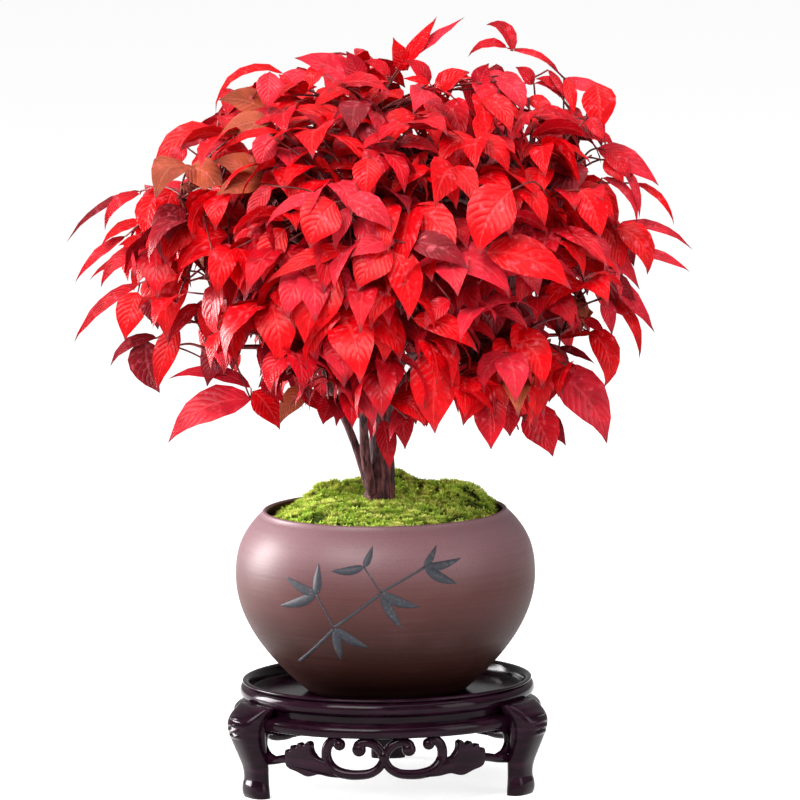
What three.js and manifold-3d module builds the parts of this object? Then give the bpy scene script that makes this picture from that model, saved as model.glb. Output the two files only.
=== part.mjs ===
import * as THREE from 'three';
import { mergeVertices } from 'three/addons/utils/BufferGeometryUtils.js';
import Module from 'manifold-3d';

const wasm = await Module();
wasm.setup();

// Sizes in millimetres. +Z is up, the front looks towards -Y, and the pot's axis is X = Y = 0.
const CLEARANCE = 0.3;
const UP = new THREE.Vector3(0, 0, 1);
const DEGREE = Math.PI / 180;

// Round stand
const STAND_SIDES = 30;
const TRAY_RIM_RADIUS = 97;
const TRAY_RIM_TOP = 72;
const TRAY_RIM_HEIGHT = 4.8;
const TRAY_LIP_HEIGHT = 4.4;
const TRAY_FLOOR_TOP = 63.2;
const TRAY_FLOOR_BOTTOM = 57;
const TRAY_WELL_RADIUS = 92;
const GROOVE_RADIUS = 93.5;
const APRON_RADIUS = 103;
const APRON_TOP = 55.6;
const APRON_BOTTOM = 46;
const APRON_INNER_RADIUS = 92;
const APRON_CHAMFER = 10;
const APRON_SHOULDER = 4;
const GROOVE_LEDGE = 1.4;
const GROOVE_TOP = APRON_TOP + 4;
const BEAD_BULGE = 2.5;

// Three legs, the first two at the front corners and the third at the back
const LEG_ANGLES = [-60, 60, 180];
const LEG_INNER_RADIUS = 88;
const KNEE_RADIUS = 114;
const KNEE_HEIGHT = 46;
const ANKLE_RADIUS = 99.5;
const ANKLE_HEIGHT = 13;
const TOE_RADIUS = 106;
const LEG_SHOULDER_HEIGHT = 59;
const CALF_RADIUS = 105.5;
const CALF_HEIGHT = 26;
const KNEE_TOP_RADIUS = 110;
const KNEE_TOP_HEIGHT = 56;
const SHIN_RADIUS = 93;
const SHIN_HEIGHT = 34;
const TOE_HEIGHT = 4;
const LEG_INNER_TOP = 52;
const LEG_WIDTHS = [[0, 19.5], [ANKLE_HEIGHT, 17], [34, 21], [KNEE_HEIGHT, 25], [LEG_SHOULDER_HEIGHT, 31]];
const LEG_CROWN = 3.5;
const KNUCKLE_DEPTH = 8;
const KNUCKLE_GROOVE = 2.5;
const KNUCKLE_COUNT = 4;
const KNUCKLE_LENGTH = 13;
const KNUCKLE_PITCH = 3.9;
const KNUCKLE_RISE = 2.2;
const KNUCKLE_LOWEST = 34;

// Carved fretwork between the legs, drawn along the arc and mirrored about its middle
const FRET_ANGLES = [0, 120, 240];
const FRET_RADIUS = 97;
const FRET_BAR = 2.8;
const FRET_RAIL_HEIGHT = 27.5;
const FRET_CENTRE_HEIGHT = 36;
const SCROLL = [[28, 43.5], [36, 40], [39.5, 31], [34.5, 23.2], [18.4, 19.9], [5.2, 24.8], [0, 33]];
const CURL = [[0, 36], [3.7, 42], [9.6, 44.2], [15.5, 41], [17, 37]];
const RAIL = [[46, 30], [60, FRET_RAIL_HEIGHT], [101, FRET_RAIL_HEIGHT]];
const LEAF_CARVING = [
  [37, 27], [47, 17], [57, 17.5], [66, 23], [67, 31], [61, 31.5], [62, 37], [54, 35.5], [51, 40], [42, 35],
];
const CARVING_DEPTH = 7;
const KNOT_RADIUS = 5.9;
const KNOT_STRETCH = 1.3;

// Round-bellied pot
const POT_SIDES = 30;
const POT_OUTSIDE_STEPS = 9;
const POT_INSIDE_STEPS = 4;
const POT_FOOT_RADIUS = 52;
const POT_FOOT_Z = TRAY_FLOOR_TOP + CLEARANCE;
const POT_BELLY_RADIUS = 100;
const POT_BELLY_Z = 141;
const POT_RIM_RADIUS = 80;
const POT_RIM_Z = 185.5;
const POT_LOWER_POWER = 1.95;
const POT_UPPER_POWER = 2.6;
const POT_WALL = 4.5;
const POT_FLOOR = 6;
const POT_LIP = 3;
const POT_LIP_HEIGHT = 1.5;
const POT_LIP_FALL = 0.6;
const POT_MOUTH_Z = POT_RIM_Z - 5;

// Moss over the soil, level where the plant's foot stands
const GROUND_Z = 191.5;
const MOSS_EDGE_Z = 180.5;
const MOSS_RINGS = [20, 33, 45, 57, 68];
const MOSS_SLACK = 0.4;
const MOSS_EDGE_INSET = 3;
const MOSS_EDGE_ROUND = 1.5;
const MOSS_DOME_POWER = 2.4;
const MOSS_LUMPS = [
  { x: 36, y: 34, height: 9, radius: 20 },
  { x: 4, y: 52, height: 11, radius: 22 },
  { x: 60, y: 6, height: 6, radius: 17 },
  { x: -38, y: 30, height: 4, radius: 20 },
  { x: 44, y: -30, height: 3, radius: 16 },
  { x: -48, y: -22, height: 3, radius: 17 },
];
const FOOT_LEVEL_RADIUS = 19;
const FOOT_BLEND = 16;

// Trunk and stems: points from the ground up, then radii from the ground up
const TRUNK_SUNK = 5;
const TRUNK_POINTS = [
  [-4.4, -3.2, GROUND_Z - TRUNK_SUNK], [-4, -3, GROUND_Z + 1], [-2.5, -2, 212], [-1, 0, 245],
  [3, 1, 292], [2, 0, 340], [0, 0, 388],
];
const TRUNK_RADII = [10.8, 8.9, 7.8, 6.4, 5.2, 3.9, 2.8];
const STEM_LEFT_POINTS = [[-11, -6, 200], [-20, -9, 226], [-29, -11, 250], [-40, -8, 276]];
const STEM_LEFT_RADII = [3.4, 3, 2.8, 2.4];
const STEM_MIDDLE_POINTS = [[-8, -10, 197], [-12, -15, 222], [-13, -19, 246], [-12, -27, 272]];
const STEM_MIDDLE_RADII = [3.6, 3.2, 3, 2.6];
const FLARE_LOBES = 5;
const FLARE_DEPTH = 0.16;
const FLARE_HEIGHT = 16;
const TRUNK_SIDES = 10;
const STEM_SIDES = 6;
const BOUGH_SIDES = 5;
const BOUGH_TIP_RADIUS = 2.4;
const BOUGH_ROOT_RADIUS = 4;
const BOUGH_ROOT_SHARE = 0.8;
const BOUGH_BEND = 0.45;
const BOUGH_LIFT = 0.6;
const LIMB_STEP = 25;
const LIMB_SAMPLE_STEP = 3;

// Crown: a full dome over a wide skirt
const CROWN_WAIST_Z = 330;
const CROWN_TOP_Z = 492;
const CROWN_RADIUS = 187;
const CROWN_DOME_POWER = 2.5;
const CROWN_SKIRT_Z = 226;
const CROWN_SKIRT_SHRINK = 0.2;
const CROWN_HOLLOW_Z = 258;

// Foliage masses: one at the top, a ring of upper ones and a ring of lower ones
const RINGS = [
  { name: 'upper', count: 6, turn: 22, radius: 120, height: 394, boughReach: 0.42, boughDrop: 30 },
  { name: 'lower', count: 6, turn: 10, radius: 98, height: 290, boughReach: 0.5, boughDrop: -4 },
];
const TOP_MASS_HEIGHT = 444;
const CELL_MARGIN = 0.25;
const LIMB_MARGIN = 1.2;

// Layers of sprays, from the crown's surface inwards: each spray is a twig that ends in leaflets in threes
const LAYERS = [
  { count: 66, share: 1, topDepth: 3, sideDepth: 30, pairs: 3, lowest: -0.56 },
  { count: 32, share: 0.74, topDepth: 14, sideDepth: 16, pairs: 2, lowest: -0.5 },
  { count: 12, share: 0.48, topDepth: 6, sideDepth: 8, pairs: 1, lowest: -0.6 },
];
const LAYER_SCATTER = 7;
const CROWN_SPARE = 7;
const FAR_TIP_SPARE = 16;
const GOLDEN_TURN = Math.PI * (3 - Math.sqrt(5));
const TOP_SLOPE = 15;
const SIDE_SLOPE = -58;

// Twigs and leaves
const MASS_STEM_RADIUS = 3;
const MASS_STEM_TAPER = 0.85;
const MASS_STEM_GAP = 0.35;
const KNEE_SHARE = 0.62;
const KNEE_LIFT = 6;
const KNEE_OVERLAP = 0.04;
const STEM_OVERRUN = 22;
const STEM_LIFT = 8;
const TWIG_ROOT_RADIUS = 1.35;
const TWIG_TIP_RADIUS = 1.25;
const TWIG_SPACING = 5;
const TWIG_TRIES = 12;
const TWIG_FALL_COST = 0.4;
const TWIG_SAMPLE_STEP = 4;
const PAIR_SPACING = 16;
const PAIR_STEP = 3;
const FIRST_PAIR_TURN = 50;
const NEXT_PAIR_TURN = 16;
const PAIR_DROP = 9;
const LEAF_LENGTH = 58;
const LEAF_WIDTH_SHARE = 0.5;
const LEAF_THICKNESS = 1.3;
const LEAF_WIDEST = 0.42;
const LEAF_ARCH = 4;
const LEAF_DROOP = 0.14;
const LEAF_SUNK = 0.9;
const LEAF_SWING = 36;
const LEAF_TILT = 24;
const LEAF_ROLL = 44;
const LEAF_MARGIN = 3;
const LEAF_FACES = [[0, 2, 3], [1, 3, 2], [0, 4, 2], [0, 3, 4], [1, 2, 4], [1, 4, 3]];
const LEAF_TRIES = [
  [0, 0, 1], [14, 8, 0.97], [-14, -8, 0.97], [28, -14, 0.92], [-28, 14, 0.92],
  [0, 26, 0.88], [44, 0, 0.85], [-44, 0, 0.85], [8, -30, 0.8], [0, 10, 0.68],
];
const SEED = 7702;

// Tips that stand out of the crown: turn from the right towards the back, height, reach and leaf slope
const FAR_TIPS = [
  { turn: 189, height: 366, reach: 211, slope: -8 },
  { turn: 192, height: 336, reach: 208, slope: -36 },
  { turn: 186, height: 299, reach: 204, slope: -30 },
  { turn: 5, height: 365, reach: 205, slope: -14 },
  { turn: 12, height: 345, reach: 202, slope: -34 },
  { turn: 0, height: 400, reach: 186, slope: -14 },
  { turn: 2, height: 292, reach: 178, slope: -50 },
  { turn: 14, height: 228, reach: 150, slope: -70 },
  { turn: 204, height: 229, reach: 155, slope: -52 },
  { turn: 172, height: 262, reach: 166, slope: -54 },
  { turn: 306, height: 222, reach: 126, slope: -66 },
  { turn: 80, height: 352, reach: 200, slope: -24 },
  { turn: 134, height: 366, reach: 201, slope: -20 },
  { turn: 72, height: 290, reach: 190, slope: -34 },
  { turn: 128, height: 286, reach: 188, slope: -34 },
  { turn: 244, height: 354, reach: 200, slope: -28 },
  { turn: 266, height: 330, reach: 199, slope: -34 },
  { turn: 318, height: 362, reach: 200, slope: -24 },
  { turn: 8, height: 517, reach: 50, slope: 42 },
  { turn: -14, height: 508, reach: 92, slope: 2 },
  { turn: 14, height: 466, reach: 150, slope: -52 },
];

const STAND_ROUGHNESS = 0.3;
const LEAF_ROUGHNESS = 0.45;
const COLORS = {
  stand: 0x24141c,
  pot: 0x6a4b48,
  moss: 0x7fa02c,
  bark: 0x4a2a22,
  leaf: 0xc4141f,
};

function seededRandom(seed) {
  let state = seed >>> 0;
  return () => {
    state = (state + 0x6d2b79f5) >>> 0;
    let mixed = Math.imul(state ^ (state >>> 15), state | 1);
    mixed ^= mixed + Math.imul(mixed ^ (mixed >>> 7), mixed | 61);
    return ((mixed ^ (mixed >>> 14)) >>> 0) / 4294967296;
  };
}

function vector([x, y, z]) {
  return new THREE.Vector3(x, y, z);
}

function polar(angle, radius, z) {
  return new THREE.Vector3(radius * Math.cos(angle), radius * Math.sin(angle), z);
}

function interpolate(table, at) {
  const last = table[table.length - 1];
  if (at <= table[0][0]) {
    return table[0][1];
  }
  if (at >= last[0]) {
    return last[1];
  }
  const upper = table.findIndex(([key]) => key > at);
  const [lowKey, lowValue] = table[upper - 1];
  const [highKey, highValue] = table[upper];
  return lowValue + ((highValue - lowValue) * (at - lowKey)) / (highKey - lowKey);
}

function evenly(values, at) {
  return interpolate(values.map((value, i) => [i / (values.length - 1), value]), at);
}

// A geometry as a solid, with its shared vertices merged and its faces wound outwards
function solidOf(geometry) {
  const bare = new THREE.BufferGeometry();
  bare.setAttribute('position', geometry.getAttribute('position').clone());
  bare.setIndex(geometry.getIndex());
  const merged = mergeVertices(bare, 1e-4);
  const position = merged.getAttribute('position');
  const corners = [];
  let volume = 0;
  for (let i = 0; i < merged.index.count; i += 3) {
    const face = [0, 1, 2].map((k) => merged.index.getX(i + k));
    if (new Set(face).size < 3) {
      continue;
    }
    const [a, b, c] = face.map((k) => new THREE.Vector3().fromBufferAttribute(position, k));
    volume += a.dot(b.cross(c));
    corners.push(face);
  }
  const wound = volume < 0 ? corners.map(([a, b, c]) => [a, c, b]) : corners;
  return new wasm.Manifold(new wasm.Mesh({
    numProp: 3,
    vertProperties: Float32Array.from(position.array),
    triVerts: Uint32Array.from(wound.flat()),
  }));
}

function joined(solids) {
  let level = solids;
  while (level.length > 1) {
    const next = [];
    for (let i = 0; i < level.length; i += 2) {
      next.push(i + 1 < level.length ? level[i].add(level[i + 1]) : level[i]);
    }
    level = next;
  }
  return level[0];
}

// The largest body of a solid, which leaves out loose scraps and sealed hollows
function wholePiece(solid) {
  const bodies = solid.decompose();
  return bodies.reduce((best, body) => (body.volume() > best.volume() ? body : best));
}

function meshOf(name, solid, color, roughness) {
  const { vertProperties, triVerts, numProp } = solid.getMesh();
  const geometry = new THREE.BufferGeometry();
  const places = new Float32Array((vertProperties.length / numProp) * 3);
  for (let i = 0; i < places.length; i += 1) {
    places[i] = vertProperties[Math.floor(i / 3) * numProp + (i % 3)];
  }
  geometry.setAttribute('position', new THREE.BufferAttribute(places, 3));
  geometry.setIndex(new THREE.BufferAttribute(triVerts, 1));
  geometry.computeVertexNormals();
  const mesh = new THREE.Mesh(geometry, new THREE.MeshStandardMaterial({ color, roughness, metalness: 0 }));
  mesh.name = name;
  return mesh;
}

function moved(geometry, move) {
  const position = geometry.getAttribute('position');
  for (let i = 0; i < position.count; i += 1) {
    const to = move(position.getX(i), position.getY(i), position.getZ(i));
    position.setXYZ(i, to.x, to.y, to.z);
  }
  return geometry;
}

// A turned solid from a profile of [radius, height] points
function turned(profile, sides) {
  const points = profile.map(([radius, height]) => new THREE.Vector2(radius, height));
  return solidOf(new THREE.LatheGeometry(points, sides).rotateX(Math.PI / 2));
}

// A square block about the pot's axis, for cutting
function blockOver(width, low, high) {
  return solidOf(new THREE.BoxGeometry(width, width, high - low).translate(0, 0, (low + high) / 2));
}

function arcPoints(radius, low, high, bulge, count) {
  return Array.from({ length: count }, (_, i) => {
    const share = (i + 0.5) / count;
    return [radius + bulge * Math.sin(Math.PI * share), low + (high - low) * share];
  });
}

// A limb along a curve: a cylinder bent to it, with a radius that changes along and around it
function limb(points, radiusAt, sides, steps) {
  const curve = new THREE.CatmullRomCurve3(points, false, 'centripetal');
  const frames = curve.computeFrenetFrames(steps, false);
  const geometry = new THREE.CylinderGeometry(1, 1, 1, sides, steps);
  return solidOf(moved(geometry, (x, y, z) => {
    const along = y + 0.5;
    const step = Math.round(along * steps);
    const radius = radiusAt(along, Math.atan2(z, x));
    return curve.getPointAt(along)
      .addScaledVector(frames.normals[step], x * radius)
      .addScaledVector(frames.binormals[step], -z * radius);
  }));
}

// Stand

function trayProfile() {
  return [
    [0, TRAY_FLOOR_BOTTOM],
    [APRON_INNER_RADIUS - APRON_CHAMFER, TRAY_FLOOR_BOTTOM],
    [APRON_INNER_RADIUS, APRON_BOTTOM],
    [APRON_RADIUS - 3, APRON_BOTTOM],
    ...arcPoints(APRON_RADIUS - 1.5, APRON_BOTTOM, APRON_TOP, BEAD_BULGE, 3),
    [APRON_RADIUS - APRON_SHOULDER, APRON_TOP],
    [GROOVE_RADIUS, APRON_TOP + GROOVE_LEDGE],
    [GROOVE_RADIUS, GROOVE_TOP],
    ...arcPoints(TRAY_RIM_RADIUS - 1, GROOVE_TOP, TRAY_RIM_TOP - TRAY_RIM_HEIGHT, BEAD_BULGE, 3),
    ...arcPoints(TRAY_RIM_RADIUS - 0.5, TRAY_RIM_TOP - TRAY_LIP_HEIGHT, TRAY_RIM_TOP, BEAD_BULGE - 0.5, 2),
    [TRAY_RIM_RADIUS - 2, TRAY_RIM_TOP],
    [TRAY_WELL_RADIUS + 1.5, TRAY_RIM_TOP - 1],
    [TRAY_WELL_RADIUS, TRAY_FLOOR_TOP + 1],
    [TRAY_WELL_RADIUS - 6, TRAY_FLOOR_TOP],
    [0, TRAY_FLOOR_TOP],
  ];
}

function legWidth(height) {
  return interpolate(LEG_WIDTHS, height);
}

function legOutline() {
  const outline = new THREE.Shape();
  outline.moveTo(LEG_INNER_RADIUS + 2, 0);
  outline.lineTo(TOE_RADIUS - 1, 0);
  outline.splineThru([
    new THREE.Vector2(TOE_RADIUS, TOE_HEIGHT),
    new THREE.Vector2(ANKLE_RADIUS, ANKLE_HEIGHT),
    new THREE.Vector2(CALF_RADIUS, CALF_HEIGHT),
    new THREE.Vector2(KNEE_RADIUS, KNEE_HEIGHT),
    new THREE.Vector2(KNEE_TOP_RADIUS, KNEE_TOP_HEIGHT),
    new THREE.Vector2(APRON_RADIUS - 2, LEG_SHOULDER_HEIGHT),
  ]);
  outline.lineTo(LEG_INNER_RADIUS + 2, LEG_INNER_TOP);
  outline.splineThru([
    new THREE.Vector2(SHIN_RADIUS, SHIN_HEIGHT),
    new THREE.Vector2(LEG_INNER_RADIUS, ANKLE_HEIGHT),
    new THREE.Vector2(LEG_INNER_RADIUS + 2, 0),
  ]);
  return outline;
}

// Turns a place given by radius, height and sideways shift to the stand piece at an angle from the front
function atStandAngle(angle, radius, height, sideways) {
  return new THREE.Vector3(sideways, -radius, height).applyAxisAngle(UP, angle * DEGREE);
}

function knuckleOutline() {
  const outline = new THREE.Shape();
  const inner = KNEE_RADIUS - KNUCKLE_DEPTH;
  outline.moveTo(inner, KNUCKLE_LOWEST);
  for (let i = 0; i < KNUCKLE_COUNT; i += 1) {
    const low = KNUCKLE_LOWEST + i * KNUCKLE_PITCH;
    outline.lineTo(KNEE_RADIUS - KNUCKLE_GROOVE, low);
    outline.lineTo(KNEE_RADIUS + KNUCKLE_RISE, low + KNUCKLE_PITCH / 2);
  }
  const top = KNUCKLE_LOWEST + KNUCKLE_COUNT * KNUCKLE_PITCH;
  outline.lineTo(KNEE_RADIUS - KNUCKLE_GROOVE, top);
  outline.lineTo(inner, top);
  return outline;
}

function knuckles(angle) {
  const settings = { depth: 1, steps: 1, bevelEnabled: false };
  const geometry = new THREE.ExtrudeGeometry(knuckleOutline(), settings);
  return solidOf(moved(geometry, (radius, height, across) => (
    atStandAngle(angle, radius, height, (across - 0.5) * KNUCKLE_LENGTH))));
}

function legBody(angle, grow) {
  const settings = { depth: 1, steps: 2, bevelEnabled: false, curveSegments: 1 };
  return solidOf(moved(new THREE.ExtrudeGeometry(legOutline(), settings), (radius, height, across) => {
    const side = 2 * across - 1;
    const outward = (radius - LEG_INNER_RADIUS) / (KNEE_RADIUS - LEG_INNER_RADIUS);
    const crowned = radius - LEG_CROWN * side * side * outward;
    return atStandAngle(angle, crowned, height, side * (legWidth(height) / 2 + grow));
  }));
}

function leg(angle) {
  const seat = turned([
    [0, APRON_BOTTOM - CLEARANCE],
    [APRON_RADIUS + 1, APRON_BOTTOM - CLEARANCE],
    [APRON_RADIUS + 1 + CLEARANCE, APRON_BOTTOM + 1],
    [APRON_RADIUS + 1 + CLEARANCE, TRAY_RIM_TOP],
    [0, TRAY_RIM_TOP],
  ], STAND_SIDES);
  return wholePiece(legBody(angle, 0).add(knuckles(angle)).subtract(seat));
}

function fretPoint(angle, along, height) {
  const turn = along / FRET_RADIUS / DEGREE;
  return atStandAngle(angle + turn, FRET_RADIUS, height, 0);
}

function fretBar(angle, points, side, radii) {
  const places = points.map(([along, height]) => fretPoint(angle, side * along, height));
  const radiusAt = (along) => evenly(radii, along);
  return limb(places, radiusAt, 4, points.length);
}

function leafCarving(angle, side) {
  const corners = LEAF_CARVING.map(([along, height]) => new THREE.Vector2(side * along, height));
  const settings = { depth: CARVING_DEPTH, steps: 1, bevelEnabled: false };
  const geometry = new THREE.ExtrudeGeometry(new THREE.Shape(corners), settings);
  return solidOf(moved(geometry, (along, height, depth) => (
    atStandAngle(angle + along / FRET_RADIUS / DEGREE, FRET_RADIUS + depth - CARVING_DEPTH / 2, height, 0))));
}

function fretwork(angle) {
  const pieces = [-1, 1].flatMap((side) => [
    fretBar(angle, SCROLL, side, [FRET_BAR * 1.2, FRET_BAR, FRET_BAR, FRET_BAR * 1.1]),
    fretBar(angle, CURL, side, [FRET_BAR, FRET_BAR, FRET_BAR * 1.3]),
    fretBar(angle, RAIL, side, [FRET_BAR, FRET_BAR * 0.8, FRET_BAR]),
    leafCarving(angle, side),
  ]);
  const knot = new THREE.OctahedronGeometry(KNOT_RADIUS, 0);
  pieces.push(solidOf(moved(knot, (x, y, z) => (
    fretPoint(angle, x, FRET_CENTRE_HEIGHT + z * KNOT_STRETCH).add(atStandAngle(angle, y, 0, 0))))));
  const above = blockOver(3 * FRET_RADIUS, APRON_BOTTOM - CLEARANCE, TRAY_RIM_TOP);
  const cutters = [above, ...LEG_ANGLES.map((legAngle) => legBody(legAngle, CLEARANCE))];
  return wholePiece(joined(pieces).subtract(joined(cutters)));
}

// Pot and moss

function potRadius(z) {
  if (z < POT_BELLY_Z) {
    const fall = (POT_BELLY_Z - z) / (POT_BELLY_Z - POT_FOOT_Z);
    return POT_BELLY_RADIUS - (POT_BELLY_RADIUS - POT_FOOT_RADIUS) * fall ** POT_LOWER_POWER;
  }
  const rise = (z - POT_BELLY_Z) / (POT_RIM_Z - POT_BELLY_Z);
  return POT_BELLY_RADIUS - (POT_BELLY_RADIUS - POT_RIM_RADIUS) * rise ** POT_UPPER_POWER;
}

function potWall(low, high, steps, inset) {
  return Array.from({ length: steps + 1 }, (_, i) => {
    const z = low + ((high - low) * i) / steps;
    return [potRadius(z) - inset, z];
  });
}

function potInnerFloor() {
  return POT_FOOT_Z + POT_FLOOR;
}

function pot() {
  const outside = potWall(POT_FOOT_Z, POT_RIM_Z - POT_LIP_HEIGHT, POT_OUTSIDE_STEPS, 0);
  const inside = potWall(potInnerFloor(), POT_MOUTH_Z, POT_INSIDE_STEPS, POT_WALL).reverse();
  return turned([
    [0, POT_FOOT_Z],
    ...outside,
    [POT_RIM_RADIUS, POT_RIM_Z],
    [POT_RIM_RADIUS - POT_LIP, POT_RIM_Z - POT_LIP_FALL],
    ...inside,
    [0, potInnerFloor()],
  ], POT_SIDES);
}

function mossHeight(x, y) {
  const edge = MOSS_RINGS[MOSS_RINGS.length - 1];
  const dome = GROUND_Z - (GROUND_Z - MOSS_EDGE_Z) * (Math.hypot(x, y) / edge) ** MOSS_DOME_POWER;
  const lumps = MOSS_LUMPS.reduce((sum, lump) => (
    sum + lump.height * Math.exp(-(((x - lump.x) ** 2 + (y - lump.y) ** 2) / lump.radius ** 2))), 0);
  const [footX, footY] = TRUNK_POINTS[0];
  const away = Math.hypot(x - footX, y - footY);
  const free = THREE.MathUtils.smoothstep(away, FOOT_LEVEL_RADIUS, FOOT_LEVEL_RADIUS + FOOT_BLEND);
  return GROUND_Z - CLEARANCE + (dome + lumps - GROUND_Z) * free;
}

function moss() {
  const floor = potInnerFloor() + CLEARANCE;
  const inset = POT_WALL + CLEARANCE + MOSS_SLACK;
  const wall = potWall(potInnerFloor(), POT_MOUTH_Z, POT_INSIDE_STEPS, inset);
  wall[0][1] = floor;
  wall[POT_INSIDE_STEPS] = [wall[POT_INSIDE_STEPS][0] - MOSS_EDGE_INSET, MOSS_EDGE_Z - MOSS_EDGE_ROUND];
  const profile = [
    [0, floor],
    ...wall,
    ...[...MOSS_RINGS].reverse().map((radius) => [radius, GROUND_Z]),
    [0, GROUND_Z],
  ];
  const points = profile.map(([radius, height]) => new THREE.Vector2(radius, height));
  const geometry = new THREE.LatheGeometry(points, POT_SIDES).rotateX(Math.PI / 2);
  return solidOf(moved(geometry, (x, y, z) => (
    new THREE.Vector3(x, y, z === GROUND_Z ? mossHeight(x, y) : z))));
}

// Trunk, stems and boughs: each is kept as its centre line and radii, so that foliage can stay clear of it

function flare(along, around, length) {
  const height = along * length - TRUNK_SUNK;
  const spread = Math.max(0, 1 - height / FLARE_HEIGHT) ** 2;
  return 1 + spread * FLARE_DEPTH * (1 + Math.cos(FLARE_LOBES * around));
}

function describeLimb(name, points, radii, sides, flared = false) {
  const curve = new THREE.CatmullRomCurve3(points, false, 'centripetal');
  return { name, points, radii, sides, flared, curve, length: curve.getLength() };
}

function limbSolid(part, grow) {
  const steps = Math.max(3, Math.round(part.length / LIMB_STEP));
  const radiusAt = (along, around) => {
    const lobes = part.flared ? flare(along, around, part.length) : 1;
    return evenly(part.radii, along) * lobes + grow;
  };
  return limb(part.points, radiusAt, part.sides, steps);
}

function boughTo(ring, name, angle, support, along) {
  const start = support.curve.getPointAt(along);
  const tip = polar(angle, ring.radius * ring.boughReach, ring.height - ring.boughDrop);
  const middle = start.clone().lerp(tip, BOUGH_BEND);
  middle.z = THREE.MathUtils.lerp(start.z, tip.z, BOUGH_LIFT);
  const root = Math.min(evenly(support.radii, along) * BOUGH_ROOT_SHARE, BOUGH_ROOT_RADIUS);
  const radii = [root, root * BOUGH_ROOT_SHARE, BOUGH_TIP_RADIUS];
  return describeLimb(name, [start, middle, tip], radii, BOUGH_SIDES);
}

// Crown

function crownRadius(z) {
  if (z > CROWN_WAIST_Z) {
    const rise = Math.min(1, (z - CROWN_WAIST_Z) / (CROWN_TOP_Z - CROWN_WAIST_Z));
    return CROWN_RADIUS * (1 - rise ** CROWN_DOME_POWER) ** (1 / CROWN_DOME_POWER);
  }
  const fall = (CROWN_WAIST_Z - z) / (CROWN_WAIST_Z - CROWN_SKIRT_Z);
  return CROWN_RADIUS * (1 - CROWN_SKIRT_SHRINK * fall * fall);
}

function crownFloor(radius) {
  return CROWN_HOLLOW_Z - (CROWN_HOLLOW_Z - CROWN_SKIRT_Z) * Math.min(1, radius / CROWN_RADIUS) ** 2;
}

function insideCrown(point, spare) {
  const radius = Math.hypot(point.x, point.y);
  return point.z < CROWN_TOP_Z + spare
    && point.z > crownFloor(radius) - spare
    && radius < crownRadius(point.z) + spare;
}

function reachAlong(direction) {
  const centre = new THREE.Vector3(0, 0, CROWN_WAIST_Z);
  let reach = 0;
  while (insideCrown(centre.clone().addScaledVector(direction, reach + 1), 0)) {
    reach += 1;
  }
  return reach;
}

function massList() {
  const top = { name: 'foliage_top', centre: new THREE.Vector3(0, 0, TOP_MASS_HEIGHT) };
  const around = RINGS.flatMap((ring) => Array.from({ length: ring.count }, (_, i) => {
    const angle = (ring.turn + (360 * i) / ring.count) * DEGREE;
    const centre = polar(angle, ring.radius, ring.height);
    return { name: `foliage_${ring.name}_${i + 1}`, ring, angle, centre };
  }));
  return [top, ...around];
}

function nearestMass(point, masses) {
  return masses.reduce((best, mass) => (
    mass.centre.distanceTo(point) < best.centre.distanceTo(point) ? mass : best));
}

// A mass owns the places nearer to its centre than to any other, less a margin
function ownsPoint(mass, point) {
  return mass.borders.every(({ middle, outward }) => (
    (point.x - middle.x) * outward.x + (point.y - middle.y) * outward.y + (point.z - middle.z) * outward.z
      < -CELL_MARGIN));
}

function setBorders(masses) {
  for (const mass of masses) {
    mass.borders = masses.filter((other) => other !== mass).map((other) => ({
      middle: mass.centre.clone().lerp(other.centre, 0.5),
      outward: other.centre.clone().sub(mass.centre).normalize(),
    }));
  }
}

function clearOfLimbs(points, radius, limbs) {
  return limbs.every((part) => part.samples.every((sample) => {
    const apart = (sample.radius + radius + LIMB_MARGIN) ** 2;
    return points.every((point) => sample.at.distanceToSquared(point) > apart);
  }));
}

// Leaves: a root, a tip, two edges raised a little at the widest place and a keel under them

function leafCorners(root, forward, normal, length) {
  const side = normal.clone().cross(forward).normalize();
  const place = (along, across, lift) => root.clone()
    .addScaledVector(forward, along)
    .addScaledVector(side, across)
    .addScaledVector(normal, lift);
  const widest = length * LEAF_WIDEST;
  const half = (length * LEAF_WIDTH_SHARE) / 2;
  return [
    root.clone(),
    place(length, 0, -length * LEAF_DROOP),
    place(widest, half, LEAF_ARCH),
    place(widest, -half, LEAF_ARCH),
    place(widest, 0, LEAF_ARCH - LEAF_THICKNESS),
  ];
}

function leafSolid(corners) {
  const spread = [[-1, 0, 0], [1, 0, 0], [0, 1, 0], [0, -1, 0], [0, 0, -1]];
  const geometry = new THREE.PolyhedronGeometry(spread.flat(), LEAF_FACES.flat(), 1, 0);
  return solidOf(moved(geometry, (x, y, z) => corners[spread.findIndex(([a, b, c]) => (
    Math.abs(a - x) + Math.abs(b - y) + Math.abs(c - z) < 0.1))]));
}

function leafSamples(corners) {
  const [root, tip, left, right] = corners;
  const middle = left.clone().lerp(right, 0.5);
  const halves = [left, right, middle].flatMap((place) => (
    [root, tip].map((end) => place.clone().lerp(end, 0.5))));
  return [...corners, ...halves];
}

// A three-sided twig with a flat upper side, so that leaves on both hands leave it through a whole side
function twigSolid(from, to, rootRadius, tipRadius) {
  const section = new THREE.Shape([30, 150, 270].map((turn) => (
    new THREE.Vector2(Math.cos(turn * DEGREE), Math.sin(turn * DEGREE)))));
  const geometry = new THREE.ExtrudeGeometry(section, { depth: 1, steps: 1, bevelEnabled: false });
  const along = to.clone().sub(from).normalize();
  const side = along.clone().cross(UP).normalize();
  const upper = side.clone().cross(along);
  return solidOf(moved(geometry, (x, y, z) => {
    const radius = THREE.MathUtils.lerp(rootRadius, tipRadius, z);
    return from.clone().lerp(to, z).addScaledVector(side, x * radius).addScaledVector(upper, y * radius);
  }));
}

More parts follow.
